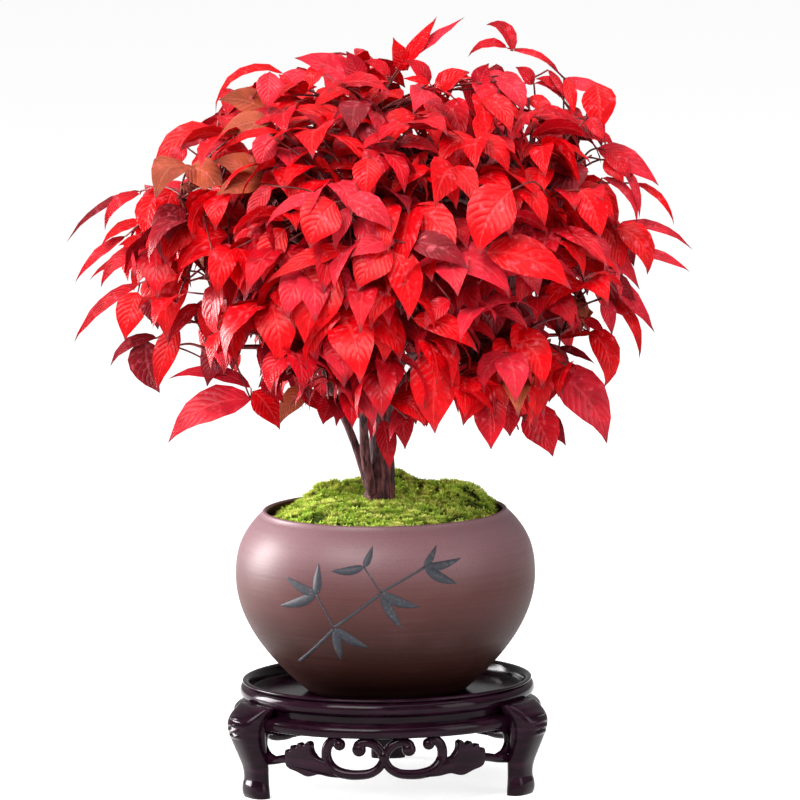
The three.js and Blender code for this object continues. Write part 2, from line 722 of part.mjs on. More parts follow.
// A leaf's direction from its slope and its turn away from straight outwards
function leafHeading(place, slope, swing) {
  const level = polar(Math.atan2(place.y, place.x) + swing, 1, 0);
  return level.multiplyScalar(Math.cos(slope)).addScaledVector(UP, Math.sin(slope)).normalize();
}

function leafNormal(forward, roll) {
  const side = UP.clone().cross(forward).normalize();
  return forward.clone().cross(side).normalize().applyAxisAngle(forward, roll);
}

// Leaves lie level over the top of the crown and droop with its surface down its sides
function slopeAt(place) {
  const step = 4;
  const narrowing = Math.max(0, crownRadius(place.z - step) - crownRadius(place.z + step));
  const facing = Math.atan(narrowing / (2 * step)) / DEGREE;
  return THREE.MathUtils.lerp(SIDE_SLOPE, TOP_SLOPE, facing / 90) * DEGREE;
}

function segmentPoints(from, to, spacing) {
  const count = Math.max(2, Math.ceil(from.distanceTo(to) / spacing));
  return Array.from({ length: count + 1 }, (_, i) => from.clone().lerp(to, i / count));
}

function boxesMeet(one, other) {
  return [0, 1, 2].every((axis) => one.min[axis] < other.max[axis] && other.min[axis] < one.max[axis]);
}

// Whether a new piece of a mass would cross one that has grown already, other than the twig that bears it
function crosses(pieces, solid, bearer) {
  const box = solid.boundingBox();
  return pieces.some((piece) => (
    piece !== bearer && boxesMeet(box, piece.box) && !solid.intersect(piece.solid).isEmpty()));
}

function boxed(solid) {
  return { solid, box: solid.boundingBox() };
}

function keepPiece(mass, solid) {
  const piece = boxed(solid);
  mass.pieces.push(piece);
  return piece;
}

// Tries a leaf at its own slope and turn, then at a few others, and skips it where none has room
function addLeaf(crown, mass, bearer, root, { slope, turn, scale, spare }) {
  const { random, limbs } = crown;
  const swing = (random() - 0.5) * LEAF_SWING * DEGREE;
  const tilt = (random() - 0.5) * LEAF_TILT * DEGREE;
  const roll = (random() - 0.5) * LEAF_ROLL * DEGREE;
  const length = LEAF_LENGTH * scale * (0.88 + 0.24 * random());
  for (const [sideways, upwards, shrink] of LEAF_TRIES) {
    const pitch = slope + tilt + upwards * DEGREE;
    const forward = leafHeading(bearer.tip, pitch, swing + turn + sideways * DEGREE);
    const corners = leafCorners(root, forward, leafNormal(forward, roll), length * shrink);
    const fits = corners.every((point) => ownsPoint(mass, point) && insideCrown(point, spare))
      && clearOfLimbs(leafSamples(corners), LEAF_MARGIN, limbs);
    if (!fits) {
      continue;
    }
    const solid = leafSolid(corners);
    if (!crosses([...mass.core, ...mass.pieces], solid, bearer)) {
      keepPiece(mass, solid);
      return;
    }
  }
}

// A twig from the free place on the stem that suits it best, or nothing where none is clear
function growTwig(crown, mass, tip) {
  const cost = (place) => place.distanceTo(tip) + Math.max(0, place.z - tip.z) * TWIG_FALL_COST;
  const places = [...mass.stem].sort((one, other) => cost(one) - cost(other)).slice(0, TWIG_TRIES);
  for (const root of places) {
    const end = tip.clone().addScaledVector(tip.clone().sub(root).normalize(), LEAF_SUNK);
    const path = segmentPoints(root, end, TWIG_SAMPLE_STEP);
    const fits = ownsPoint(mass, end) && clearOfLimbs(path, TWIG_ROOT_RADIUS, crown.limbs);
    const solid = twigSolid(root, end, TWIG_ROOT_RADIUS, TWIG_TIP_RADIUS);
    if (fits && !crosses(mass.pieces, solid, null)) {
      mass.stem = mass.stem.filter((place) => place !== root);
      return Object.assign(keepPiece(mass, solid), { root, tip });
    }
  }
  return null;
}

// Leaflets in threes: one ends the twig, and pairs stand at its sides further back
function addPairs(crown, mass, twig, pairs, leaf) {
  const back = twig.root.clone().sub(twig.tip);
  const reach = back.length();
  back.normalize();
  for (let pair = 0; pair < pairs; pair += 1) {
    for (const side of [-1, 1]) {
      const behind = Math.min(PAIR_STEP * (1.5 + side / 2) + pair * PAIR_SPACING, reach * 0.8);
      const root = twig.tip.clone().addScaledVector(back, behind);
      const turn = side * (FIRST_PAIR_TURN + NEXT_PAIR_TURN * pair) * DEGREE;
      const scale = leaf.scale * (0.94 - 0.06 * pair);
      addLeaf(crown, mass, twig, root, { ...leaf, turn, scale, slope: leaf.slope - PAIR_DROP * DEGREE });
    }
  }
}

function addSpray(crown, tip, pairs) {
  const mass = nearestMass(tip, crown.masses);
  const twig = growTwig(crown, mass, tip);
  if (!twig) {
    return;
  }
  const leaf = { slope: slopeAt(tip), turn: 0, scale: 1, spare: CROWN_SPARE };
  addLeaf(crown, mass, twig, tip, leaf);
  addPairs(crown, mass, twig, pairs, leaf);
}

function growMassStem(mass, bough) {
  const root = bough.curve.getPointAt(1).addScaledVector(bough.curve.getTangentAt(1), MASS_STEM_GAP);
  const knee = root.clone().lerp(mass.centre, KNEE_SHARE);
  knee.z += KNEE_LIFT;
  const end = mass.centre.clone();
  if (mass.ring) {
    end.add(mass.centre.clone().setZ(0).normalize().multiplyScalar(STEM_OVERRUN));
  }
  end.z += STEM_LIFT;
  const lower = segmentPoints(root, knee, TWIG_SPACING).slice(2);
  const upper = segmentPoints(knee, end, TWIG_SPACING).slice(1);
  const kneeRadius = MASS_STEM_RADIUS * MASS_STEM_TAPER;
  mass.stem = [...lower, ...upper];
  mass.pieces = [];
  mass.core = [
    twigSolid(root, knee, MASS_STEM_RADIUS, kneeRadius),
    twigSolid(knee.clone().lerp(root, KNEE_OVERLAP), end, kneeRadius, TWIG_TIP_RADIUS),
  ].map(boxed);
}

// Even directions from the crown's middle, spiralling from its top down to its skirt
function spiralDirection(index, count, lowest) {
  const up = 1 - ((1 - lowest) * (index + 0.5)) / count;
  return polar(index * GOLDEN_TURN, Math.sqrt(1 - up * up), up);
}

function growLayer(crown, { count, share, topDepth, sideDepth, pairs, lowest }) {
  const centre = new THREE.Vector3(0, 0, CROWN_WAIST_Z);
  for (let i = 0; i < count; i += 1) {
    const direction = spiralDirection(i, count, lowest);
    const depth = THREE.MathUtils.lerp(topDepth, sideDepth, Math.hypot(direction.x, direction.y) ** 4);
    const reach = reachAlong(direction) * share - depth - LAYER_SCATTER * crown.random();
    addSpray(crown, centre.clone().addScaledVector(direction, reach), pairs);
  }
}

// The sprays that stand out of the crown end exactly at their named tips
function growFarTips(crown) {
  for (const { turn, height, reach, slope } of FAR_TIPS) {
    const end = polar(turn * DEGREE, reach, height);
    const forward = leafHeading(end, slope * DEGREE, 0);
    const normal = leafNormal(forward, 0);
    const tip = end.clone()
      .addScaledVector(forward, -LEAF_LENGTH)
      .addScaledVector(normal, LEAF_LENGTH * LEAF_DROOP);
    const mass = nearestMass(tip, crown.masses);
    const corners = leafCorners(tip, forward, normal, LEAF_LENGTH);
    const twig = corners.every((point) => ownsPoint(mass, point)) && growTwig(crown, mass, tip);
    if (twig) {
      keepPiece(mass, leafSolid(corners));
      addPairs(crown, mass, twig, 1, { slope: slope * DEGREE, scale: 0.95, spare: FAR_TIP_SPARE });
    }
  }
}

// Assembly

function buildStand(group) {
  group.add(meshOf('stand_tray', turned(trayProfile(), STAND_SIDES), COLORS.stand, STAND_ROUGHNESS));
  LEG_ANGLES.forEach((angle, i) => {
    group.add(meshOf(`stand_leg_${i + 1}`, leg(angle), COLORS.stand, STAND_ROUGHNESS));
  });
  FRET_ANGLES.forEach((angle, i) => {
    group.add(meshOf(`stand_fretwork_${i + 1}`, fretwork(angle), COLORS.stand, STAND_ROUGHNESS));
  });
}

function buildLimbs(masses) {
  const trunk = describeLimb('trunk', TRUNK_POINTS.map(vector), TRUNK_RADII, TRUNK_SIDES, true);
  const left = describeLimb('stem_left', STEM_LEFT_POINTS.map(vector), STEM_LEFT_RADII, STEM_SIDES);
  const middle = describeLimb('stem_middle', STEM_MIDDLE_POINTS.map(vector), STEM_MIDDLE_RADII, STEM_SIDES);
  const limbs = [trunk, left, middle];
  const supports = {
    lower: [[trunk, 0.33], [trunk, 0.42], [trunk, 0.36], [left, 0.97], [middle, 0.97], [trunk, 0.46]],
    upper: [[trunk, 0.62], [trunk, 0.7], [trunk, 0.58], [trunk, 0.66], [trunk, 0.54], [trunk, 0.74]],
  };
  for (const mass of masses) {
    if (!mass.ring) {
      mass.bough = trunk;
      continue;
    }
    const index = Number(mass.name.split('_')[2]) - 1;
    const [support, along] = supports[mass.ring.name][index];
    mass.bough = boughTo(mass.ring, mass.name.replace('foliage', 'bough'), mass.angle, support, along);
    limbs.push(mass.bough);
  }
  for (const part of limbs) {
    const count = Math.ceil(part.length / LIMB_SAMPLE_STEP);
    part.samples = Array.from({ length: count + 1 }, (_, i) => ({
      at: part.curve.getPointAt(i / count),
      radius: evenly(part.radii, i / count),
    }));
  }
  return limbs;
}

function addLimbs(group, limbs) {
  const placed = [];
  for (const part of limbs) {
    let solid = limbSolid(part, 0);
    if (placed.length) {
      solid = wholePiece(solid.subtract(joined(placed)));
    }
    if (part.flared) {
      solid = solid.subtract(blockOver(POT_RIM_RADIUS, MOSS_EDGE_Z - TRUNK_SUNK, GROUND_Z));
    }
    placed.push(limbSolid(part, CLEARANCE));
    group.add(meshOf(part.name, solid, COLORS.bark, 0.8));
  }
  return joined(placed.map((_, i) => limbSolid(limbs[i], CLEARANCE * 0.8)));
}

function buildFoliage(group, masses, limbs, grownLimbs) {
  const crown = { masses, limbs, random: seededRandom(SEED) };
  setBorders(masses);
  masses.forEach((mass) => growMassStem(mass, mass.bough));
  growFarTips(crown);
  LAYERS.forEach((layer) => growLayer(crown, layer));
  for (const mass of masses) {
    const grown = joined([...mass.core, ...mass.pieces].map((piece) => piece.solid));
    group.add(meshOf(mass.name, wholePiece(grown.subtract(grownLimbs)), COLORS.leaf, LEAF_ROUGHNESS));
  }
}

const group = new THREE.Group();
const stand = new THREE.Group();
const vessel = new THREE.Group();
const plant = new THREE.Group();
group.add(stand, vessel, plant);

buildStand(stand);
vessel.add(meshOf('pot', pot(), COLORS.pot, 0.7));
vessel.add(meshOf('moss_mound', moss(), COLORS.moss, 0.95));

const masses = massList();
const limbs = buildLimbs(masses);
const grownLimbs = addLimbs(plant, limbs);
buildFoliage(plant, masses, limbs, grownLimbs);

export default group;
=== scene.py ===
import math

import bpy
import numpy as np
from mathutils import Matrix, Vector, noise


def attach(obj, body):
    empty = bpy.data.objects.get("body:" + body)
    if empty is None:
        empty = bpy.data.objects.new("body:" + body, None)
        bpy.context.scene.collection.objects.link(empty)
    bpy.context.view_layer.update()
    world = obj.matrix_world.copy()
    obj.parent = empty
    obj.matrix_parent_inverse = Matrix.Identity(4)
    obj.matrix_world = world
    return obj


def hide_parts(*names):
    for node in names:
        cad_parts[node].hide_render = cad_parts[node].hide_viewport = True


bl_info = {
    "name": "Potted Heavenly Bamboo",
    "version": (1, 0, 0),
    "blender": (4, 5, 0),
    "location": "3D View > Sidebar > Heavenly Bamboo",
    "description": "Dresses a red heavenly bamboo bonsai, its clay pot and its carved stand",
    "category": "Add Mesh",
}

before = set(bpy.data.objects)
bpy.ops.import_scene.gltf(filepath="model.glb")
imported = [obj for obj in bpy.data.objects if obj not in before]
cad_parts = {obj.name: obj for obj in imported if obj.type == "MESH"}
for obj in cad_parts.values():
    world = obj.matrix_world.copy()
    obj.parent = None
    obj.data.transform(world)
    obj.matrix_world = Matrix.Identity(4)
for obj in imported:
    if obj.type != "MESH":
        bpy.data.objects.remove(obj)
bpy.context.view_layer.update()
MM = 0.001
VIEW_MIDDLE = (11.3, 0.0, 258.4)
UP = np.array((0.0, 0.0, 1.0))

# Lengths are in millimetres from here on, as in the part's source, and pieces are built in metres.

# Stand
TURNED_STEPS = 160
TRAY_RIM_RADIUS = 97
TRAY_RIM_TOP = 72
TRAY_FLOOR_TOP = 63.2
TRAY_FLOOR_BOTTOM = 57
TRAY_WELL_RADIUS = 92
GROOVE_RADIUS = 93.5
APRON_RADIUS = 103
APRON_TOP = 55.6
APRON_BOTTOM = 46
APRON_INNER_RADIUS = 92
LEG_ANGLES = (-60, 60, 180)
LEG_SIDES = 32
LEG_LEVELS = 72
LEG_TOP = 62
LEG_OUTER = ((0, 107.4), (3, 108.6), (8, 108.8), (13, 107.6), (20, 108.4), (28, 111.6), (36, 115),
             (43, 117.6), (50, 118.8), (55, 116), (59, 111), (62, 106))
LEG_INNER = ((0, 94.5), (13, 95), (26, 95.5), (34, 97), (44, 97.5), (50, 95), (62, 92))
LEG_WIDTHS = ((0, 23), (4, 23.5), (13, 21.5), (26, 24), (38, 27.5), (50, 31), (62, 37))
LEG_SQUARENESS = 2.7
RIDGE_LOW = 40.5
RIDGE_PITCH = 4.1
RIDGE_COUNT = 4
RIDGE_DEPTH = 1.9
RIDGE_HALF_WIDTH = 8
FRET_ANGLES = (-1.5, 118.5, 238.5)
FRET_RADIUS = 97
FRET_BAR = 2.9

# Fretwork between the legs: (sideways, height) places of one half, which is mirrored
SCROLL = ((30, 41.6), (33.6, 44.4), (38.2, 40.5), (39.5, 34.5), (37.8, 28.8), (32.8, 24), (24.7, 21.8),
          (16.8, 21.6), (9.2, 22.8), (3.7, 26.2), (0.6, 31))
CURL = ((0, 31.6), (1.8, 36.8), (6.2, 41.8), (12, 43.6), (16.8, 41.4), (16.6, 38.6))
RAIL = ((66, 29.6), (74, 28.6), (84, 26.4), (96, 24.5))
END_CURL = ((84, 47), (91, 45.6), (95.6, 41), (96.4, 35), (92, 29.6), (84, 26.8))
LEAF_CARVING = ((46, 32), (38.6, 29.4), (33.4, 22.6), (26, 20), (36.4, 19.8), (44.4, 21), (49.2, 19.6),
                (53.4, 19), (61, 21.5), (69, 23.8), (71, 27.6), (70.4, 35.6), (66.8, 35.2), (65.8, 38.9),
                (61.8, 37.6), (59.8, 41.2), (56.2, 39.4), (52.5, 42.6), (50.2, 41.4), (49.6, 36.6))
CARVING_DEPTH = 6.4
CARVING_BEVEL = 1.0
SCROLL_RADII = (FRET_BAR * 1.15, FRET_BAR * 1.2, FRET_BAR)
CURL_RADII = (FRET_BAR, FRET_BAR * 1.1, FRET_BAR * 1.3)
RAIL_RADII = (FRET_BAR, FRET_BAR, FRET_BAR)
END_CURL_RADII = (FRET_BAR * 1.2, FRET_BAR, FRET_BAR)
SCROLL_END_SIZES = (4.1, 4.1, 4.1)
CURL_END_SIZES = (4.7, 4, 4.7)
KNOT_PLACE = (0, 34)
KNOT_SIZES = (3.8, 4, 5)

# Pot
POT_FOOT_RADIUS = 52
POT_FOOT_Z = 63.5
POT_BELLY_RADIUS = 100
POT_BELLY_Z = 141
POT_RIM_RADIUS = 80
POT_RIM_Z = 185.5
POT_LOWER_POWER = 1.95
POT_UPPER_POWER = 2.6
POT_WALL = 4.5
POT_LIP = 3
POT_FLOOR = 6
# Heights over which the painted shade of the foot fades out towards the belly, and the painted light of the
# shoulder comes in
CLAY_FOOT_SHADE_Z = (96, 146)
CLAY_SHOULDER_LIGHT_Z = (136, 182)
PAINT_LIFT = 0.12
PAINT_THICKNESS = 0.12
POT_EDGE = 1.6
POT_RINGS = 56
POT_INNER_RINGS = 24
STROKE_STEPS = 12
STROKE_SAG = 0.06

# Painted bamboo sprig: (sideways, height) at the root and at the tip of each stalk or leaf, and its width
SPRIG_STALKS = (((-58, 92), (-35, 118), 2.6), ((-34, 120), (-4, 143), 2.2), ((-3, 144.5), (26, 160), 1.7),
                ((-34, 119), (-46, 142), 1.2), ((-3, 144), (-14, 161), 1.1))
SPRIG_LEAVES = (((-46, 142), (-70, 132), 6.5), ((-46, 142), (-66, 152), 6), ((-46, 142), (-44, 162), 5.5),
                ((-14, 161), (-36, 158), 5.6), ((-14, 161), (-8, 174), 4.6), ((-3, 144), (22, 134), 6.8),
                ((-3, 143), (10, 120), 6.2), ((26, 160), (47, 148), 6.4), ((26, 160), (50, 164), 5.6),
                ((26, 160), (34, 173), 4.6), ((-34, 119), (-12, 106), 6.6), ((-34, 118), (-30, 96), 5.8))

# Moss
GROUND_Z = 191.5
MOSS_EDGE_Z = 180.5
MOSS_RADIUS = 68
MOSS_OUTER_RADIUS = 74
MOSS_DOME_POWER = 2.4
# Lumps of the mound: x, y, height and width
MOSS_LUMPS = ((36, 34, 8, 20), (4, 52, 16, 22), (60, 8, 14, 18), (54, 34, 7, 16), (-38, 34, 11, 20),
              (-22, 52, 4, 16), (44, -30, 3, 16), (-48, -22, 4, 17))
MOSS_GAP = -0.9
MOSS_SEED = 41
MOSS_RINGS = 72
MOSS_WALL_DEPTH = 30
MOSS_SHOULDER_DEPTH = 12
CUSHION_SEAM = 0.7
CUSHION_RIPPLE = 0.6
CUSHION_RIPPLE_SIZE = 3.0
FOOT_CUSHION_SHARE = 0.35
BED_SUNK = 0.8
TUFT_SUNK = 0.9
TUFT_LEAN = 0.5
TUFT_SIZES = (0.75, 1.35)
BLADE_WIDTH = 0.13
BLADE_TURN = 0.3
BLADE_RISES = (0.5, 1.7)
PATCH_SIZE = 11
PATCH_CHANCE = 0.3
CUSHION_BRIGHTNESS = 0.16
BRIGHT_LIMIT = 0.1
DULL_SHARE = 0.05
FOOT_LEVEL_RADIUS = 14
FOOT_BLEND = 16
CUSHION_SIZE = 9
CUSHION_HEIGHT = 3.6
TUFT_BLADES = 6

# Trunk and stems
TRUNK_SUNK = 5
TRUNK_POINTS = ((-3.4, -3.2, GROUND_Z - TRUNK_SUNK), (-3, -3, GROUND_Z + 1), (-1.5, -2, 212), (-1, 0, 245),
                (3, 1, 292), (2, 0, 340), (0, 0, 388))
TRUNK_RADII = (10.0, 8.3, 7.4, 6.2, 5.2, 3.9, 2.8)
STEM_LEFT_POINTS = ((-10, -6, 200), (-17.5, -9, 226), (-26.5, -11, 250), (-38, -8, 276))
STEM_LEFT_RADII = (3.1, 2.7, 2.5, 2.2)
STEM_MIDDLE_POINTS = ((-8, -10, 197), (-12, -15, 222), (-13, -19, 246), (-12, -27, 272))
STEM_MIDDLE_RADII = (3.6, 3.2, 3, 2.6)
FLARE_LOBES = 5
FLARE_DEPTH = 0.10
FLARE_HEIGHT = 16
BOUGH_TIP_RADIUS = 2.4
BOUGH_ROOT_RADIUS = 4
BOUGH_ROOT_SHARE = 0.8
BOUGH_BEND_OUT = 0.45
BOUGH_BEND_UP = 0.6
FURROW_DEPTH = 0.11
FURROWS_AROUND = 2.4
FURROW_LENGTH = 26
KNOT_DEPTH = 0.08
# Sides and levels of each limb's mesh
TRUNK_CUTS = (36, 150)
STEM_CUTS = (18, 50)
BOUGH_CUTS = (12, 20)
# The limb that carries each bough, and where along it
LOWER_SUPPORTS = (("trunk", 0.33), ("trunk", 0.42), ("trunk", 0.36), ("stem_left", 0.97),
                  ("stem_middle", 0.97), ("trunk", 0.46))
UPPER_SUPPORTS = (("trunk", 0.62), ("trunk", 0.7), ("trunk", 0.58), ("trunk", 0.66), ("trunk", 0.54),
                  ("trunk", 0.74))

# Crown and masses, as in the part's source
CROWN_WAIST_Z = 330
CROWN_TOP_Z = 492
CROWN_RADIUS = 187
CROWN_DOME_POWER = 2.5
CROWN_SKIRT_Z = 226
CROWN_SKIRT_SHRINK = 0.2
CROWN_HOLLOW_Z = 258
CROWN_MIDDLE = np.array((0.0, 0.0, CROWN_WAIST_Z))
TOP_MASS_HEIGHT = 444
RINGS = (
    {"name": "upper", "count": 6, "turn": 22, "radius": 120, "height": 394, "reach": 0.42, "drop": 30},
    {"name": "lower", "count": 6, "turn": 10, "radius": 98, "height": 290, "reach": 0.5, "drop": -4},
)
LAYERS = (
    {"count": 165, "share": 1.0, "top_depth": 6, "side_depth": 22, "pairs": 2, "lowest": -0.57},
    {"count": 120, "share": 0.87, "top_depth": 6, "side_depth": 16, "pairs": 2, "lowest": -0.55},
    {"count": 84, "share": 0.7, "top_depth": 8, "side_depth": 12, "pairs": 2, "lowest": -0.52},
    {"count": 44, "share": 0.48, "top_depth": 6, "side_depth": 8, "pairs": 1, "lowest": -0.6},
)
LAYER_SCATTER = 12
CROWN_SPARE = 7
REACH_STEP = 2
GOLDEN_TURN = math.pi * (3 - math.sqrt(5))
TOP_PITCH = 28
SIDE_PITCH = 12
TOP_DROOP = 74
SIDE_DROOP = 104
PAIR_SPACING = 15
FIRST_PAIR_TURN = 56
NEXT_PAIR_TURN = 12

# Stem of each mass, and the twigs that leave it
MASS_STEM_SUNK = 1.5
MASS_STEM_KNEE = 0.62
MASS_STEM_KNEE_RISE = 6
MASS_STEM_END_RISE = 8
MASS_OVERRUN = 22
MASS_STEM_RADII = (2.6, 1.3)
TWIG_SIDES = 5
TWIG_RADIUS = 1.2
TWIG_TIP_RADIUS = 0.65
TWIG_SWAY = 0.1
TWIG_RISES = (0.1, 0.3, -0.25, 0.5, -0.45)
TWIG_CLIMB = 0.4
TWIG_CHANCE = 14
STALK_RADII = (0.6, 0.5)

# Chances of a spray's tint, in order, and how leaflets vary in degrees
BRONZE_MOST_X = -60
BRONZE_MOST_Y = 40
BRONZE_LEAST_Z = 350
BRONZE_SIDE_CHANCE = 0.06
BRONZE_CHANCE = 0.015
INNER_SHARE = 0.8
# Inner sprays take the plant's dark maroon tint more often, as painted shade inside the crown
INNER_SHADE_MAROON_CHANCE = 0.4
TINT_CHANCES = (("scarlet", 0.44), ("crimson", 0.74), ("rose", 0.96))
# Sprays facing up take the paler rose tint more often, as painted sheen of the sky on the crown's top
TOP_SHEEN_TINT_SHIFT = 0.14
LEAFLET_ROLL = 84
LEAFLET_TWIST = 80
LEAFLET_SWEEP = 50
LEAFLET_LEAST_WIDTH = 0.76
LEAFLET_WIDTH_CHANCE = 0.4
LEAFLET_SHRINKS = (1.0, 0.86, 0.72)
SPRAY_TURN_SWING = 96
SPRAY_PITCH_SWING = 44
SPRAY_DROOP_SWING = 36
SPRAY_LEAST_SIZE = 0.84
SPRAY_SIZE_CHANCE = 0.4
SPRAY_TOP_SHRINK = 0.16
END_LEAFLET_SIZE = 1.06
PAIR_TURN_SWING = 30
PAIR_PITCH_DROP = 4
PAIR_PITCH_SWING = 26
PAIR_STAGGER = 1.5
FIRST_PAIR_SIZE = 0.98
NEXT_PAIR_SHRINK = 0.08
PAIR_LEAST_SIZE = 0.88
PAIR_SIZE_CHANCE = 0.2
# Pixels kept free of a sky gap at a leaflet's root, quarter, middle, three quarters and end
LEAFLET_CLEARANCES = (1.0, 5.0, 7.0, 5.0, 1.0)

# Tips that stand out of the crown: turn from the right towards the back, height, reach and leaf slope
FAR_TIPS = (
    (306, 247, 126, -60), (80, 352, 200, -24), (134, 366, 201, -20), (72, 290, 190, -34),
    (128, 286, 188, -34), (244, 354, 200, -28), (266, 330, 199, -34), (318, 362, 200, -24),
)
FAR_LEAF_LENGTH = 54
FAR_LEAF_WIDTH = 0.36
FAR_LEAF_DROOP = 60
FAR_LEAF_FACED = 0.2
FAR_PAIR_BEHIND = 4
FAR_PAIR_LIFT = 8
FAR_PAIR_TURN = 0.9
FAR_PAIR_DROOP = 50
FAR_PAIR_SIZE = 0.9
FAR_SPARE = 16

# The photograph's own frame, in its pixels: the crown's edge, the sky that shows through it and single leaves
PHOTO_SIZE = 800
PHOTO_CROWN_EDGE = (
    (306, 62), (302, 80), (286, 76), (270, 80), (236, 94), (218, 114), (190, 134), (164, 170), (150, 196),
    (144, 222), (132, 238), (126, 262), (124, 284), (130, 306), (136, 338), (158, 350), (180, 370),
    (206, 376), (240, 388), (264, 400), (290, 408), (330, 418), (346, 428), (364, 440), (394, 446),
    (406, 442), (420, 432), (436, 428), (454, 408), (462, 420), (476, 428), (492, 444), (510, 432),
    (528, 436), (546, 420), (546, 402), (564, 396), (590, 380), (600, 352), (610, 314), (626, 300),
    (626, 270), (630, 250), (616, 224), (610, 192), (622, 180), (624, 160), (610, 140), (600, 130),
    (588, 108), (570, 112), (556, 78), (530, 72), (500, 72), (470, 76), (440, 78), (424, 68), (400, 62),
    (384, 64), (360, 56), (330, 54),
)
# Circles of sky: x, y and radius
PHOTO_GAPS = (
    (202, 287, 8), (195, 296, 7), (186, 303, 6), (179, 309, 5), (174, 315, 4), (192, 331, 7),
    (190, 343, 10), (184, 356, 9), (195, 353, 7), (176, 363, 5), (247, 344, 5), (248, 354, 7),
    (256, 366, 9), (254, 377, 6), (253, 384, 4), (139, 324, 6), (144, 330, 8), (153, 331, 4),
    (134, 205, 7), (127, 214, 7), (119, 221, 5), (127, 233, 5), (218, 382, 4), (226, 381, 4),
    (234, 384, 3), (595, 311, 6), (548, 335, 5), (578, 341, 4), (586, 345, 7), (593, 355, 6),
    (597, 363, 5), (570, 357, 3), (580, 361, 3), (591, 367, 4), (406, 68, 4), (407, 90, 6), (594, 173, 7),
    (616, 200, 6), (622, 209, 8), (628, 214, 5), (114, 264, 7), (120, 278, 6), (308, 434, 10),
    (357, 427, 4), (320, 85, 8), (530, 88, 5), (540, 91, 8), (551, 98, 8), (558, 105, 5), (580, 97, 4),
    (583, 105, 5), (189, 158, 6), (243, 144, 5), (251, 142, 5), (223, 315, 4), (240, 84, 4), (247, 80, 5),
    (255, 75, 5), (262, 71, 4), (132, 295, 4), (637, 172, 6), (648, 182, 4),
)
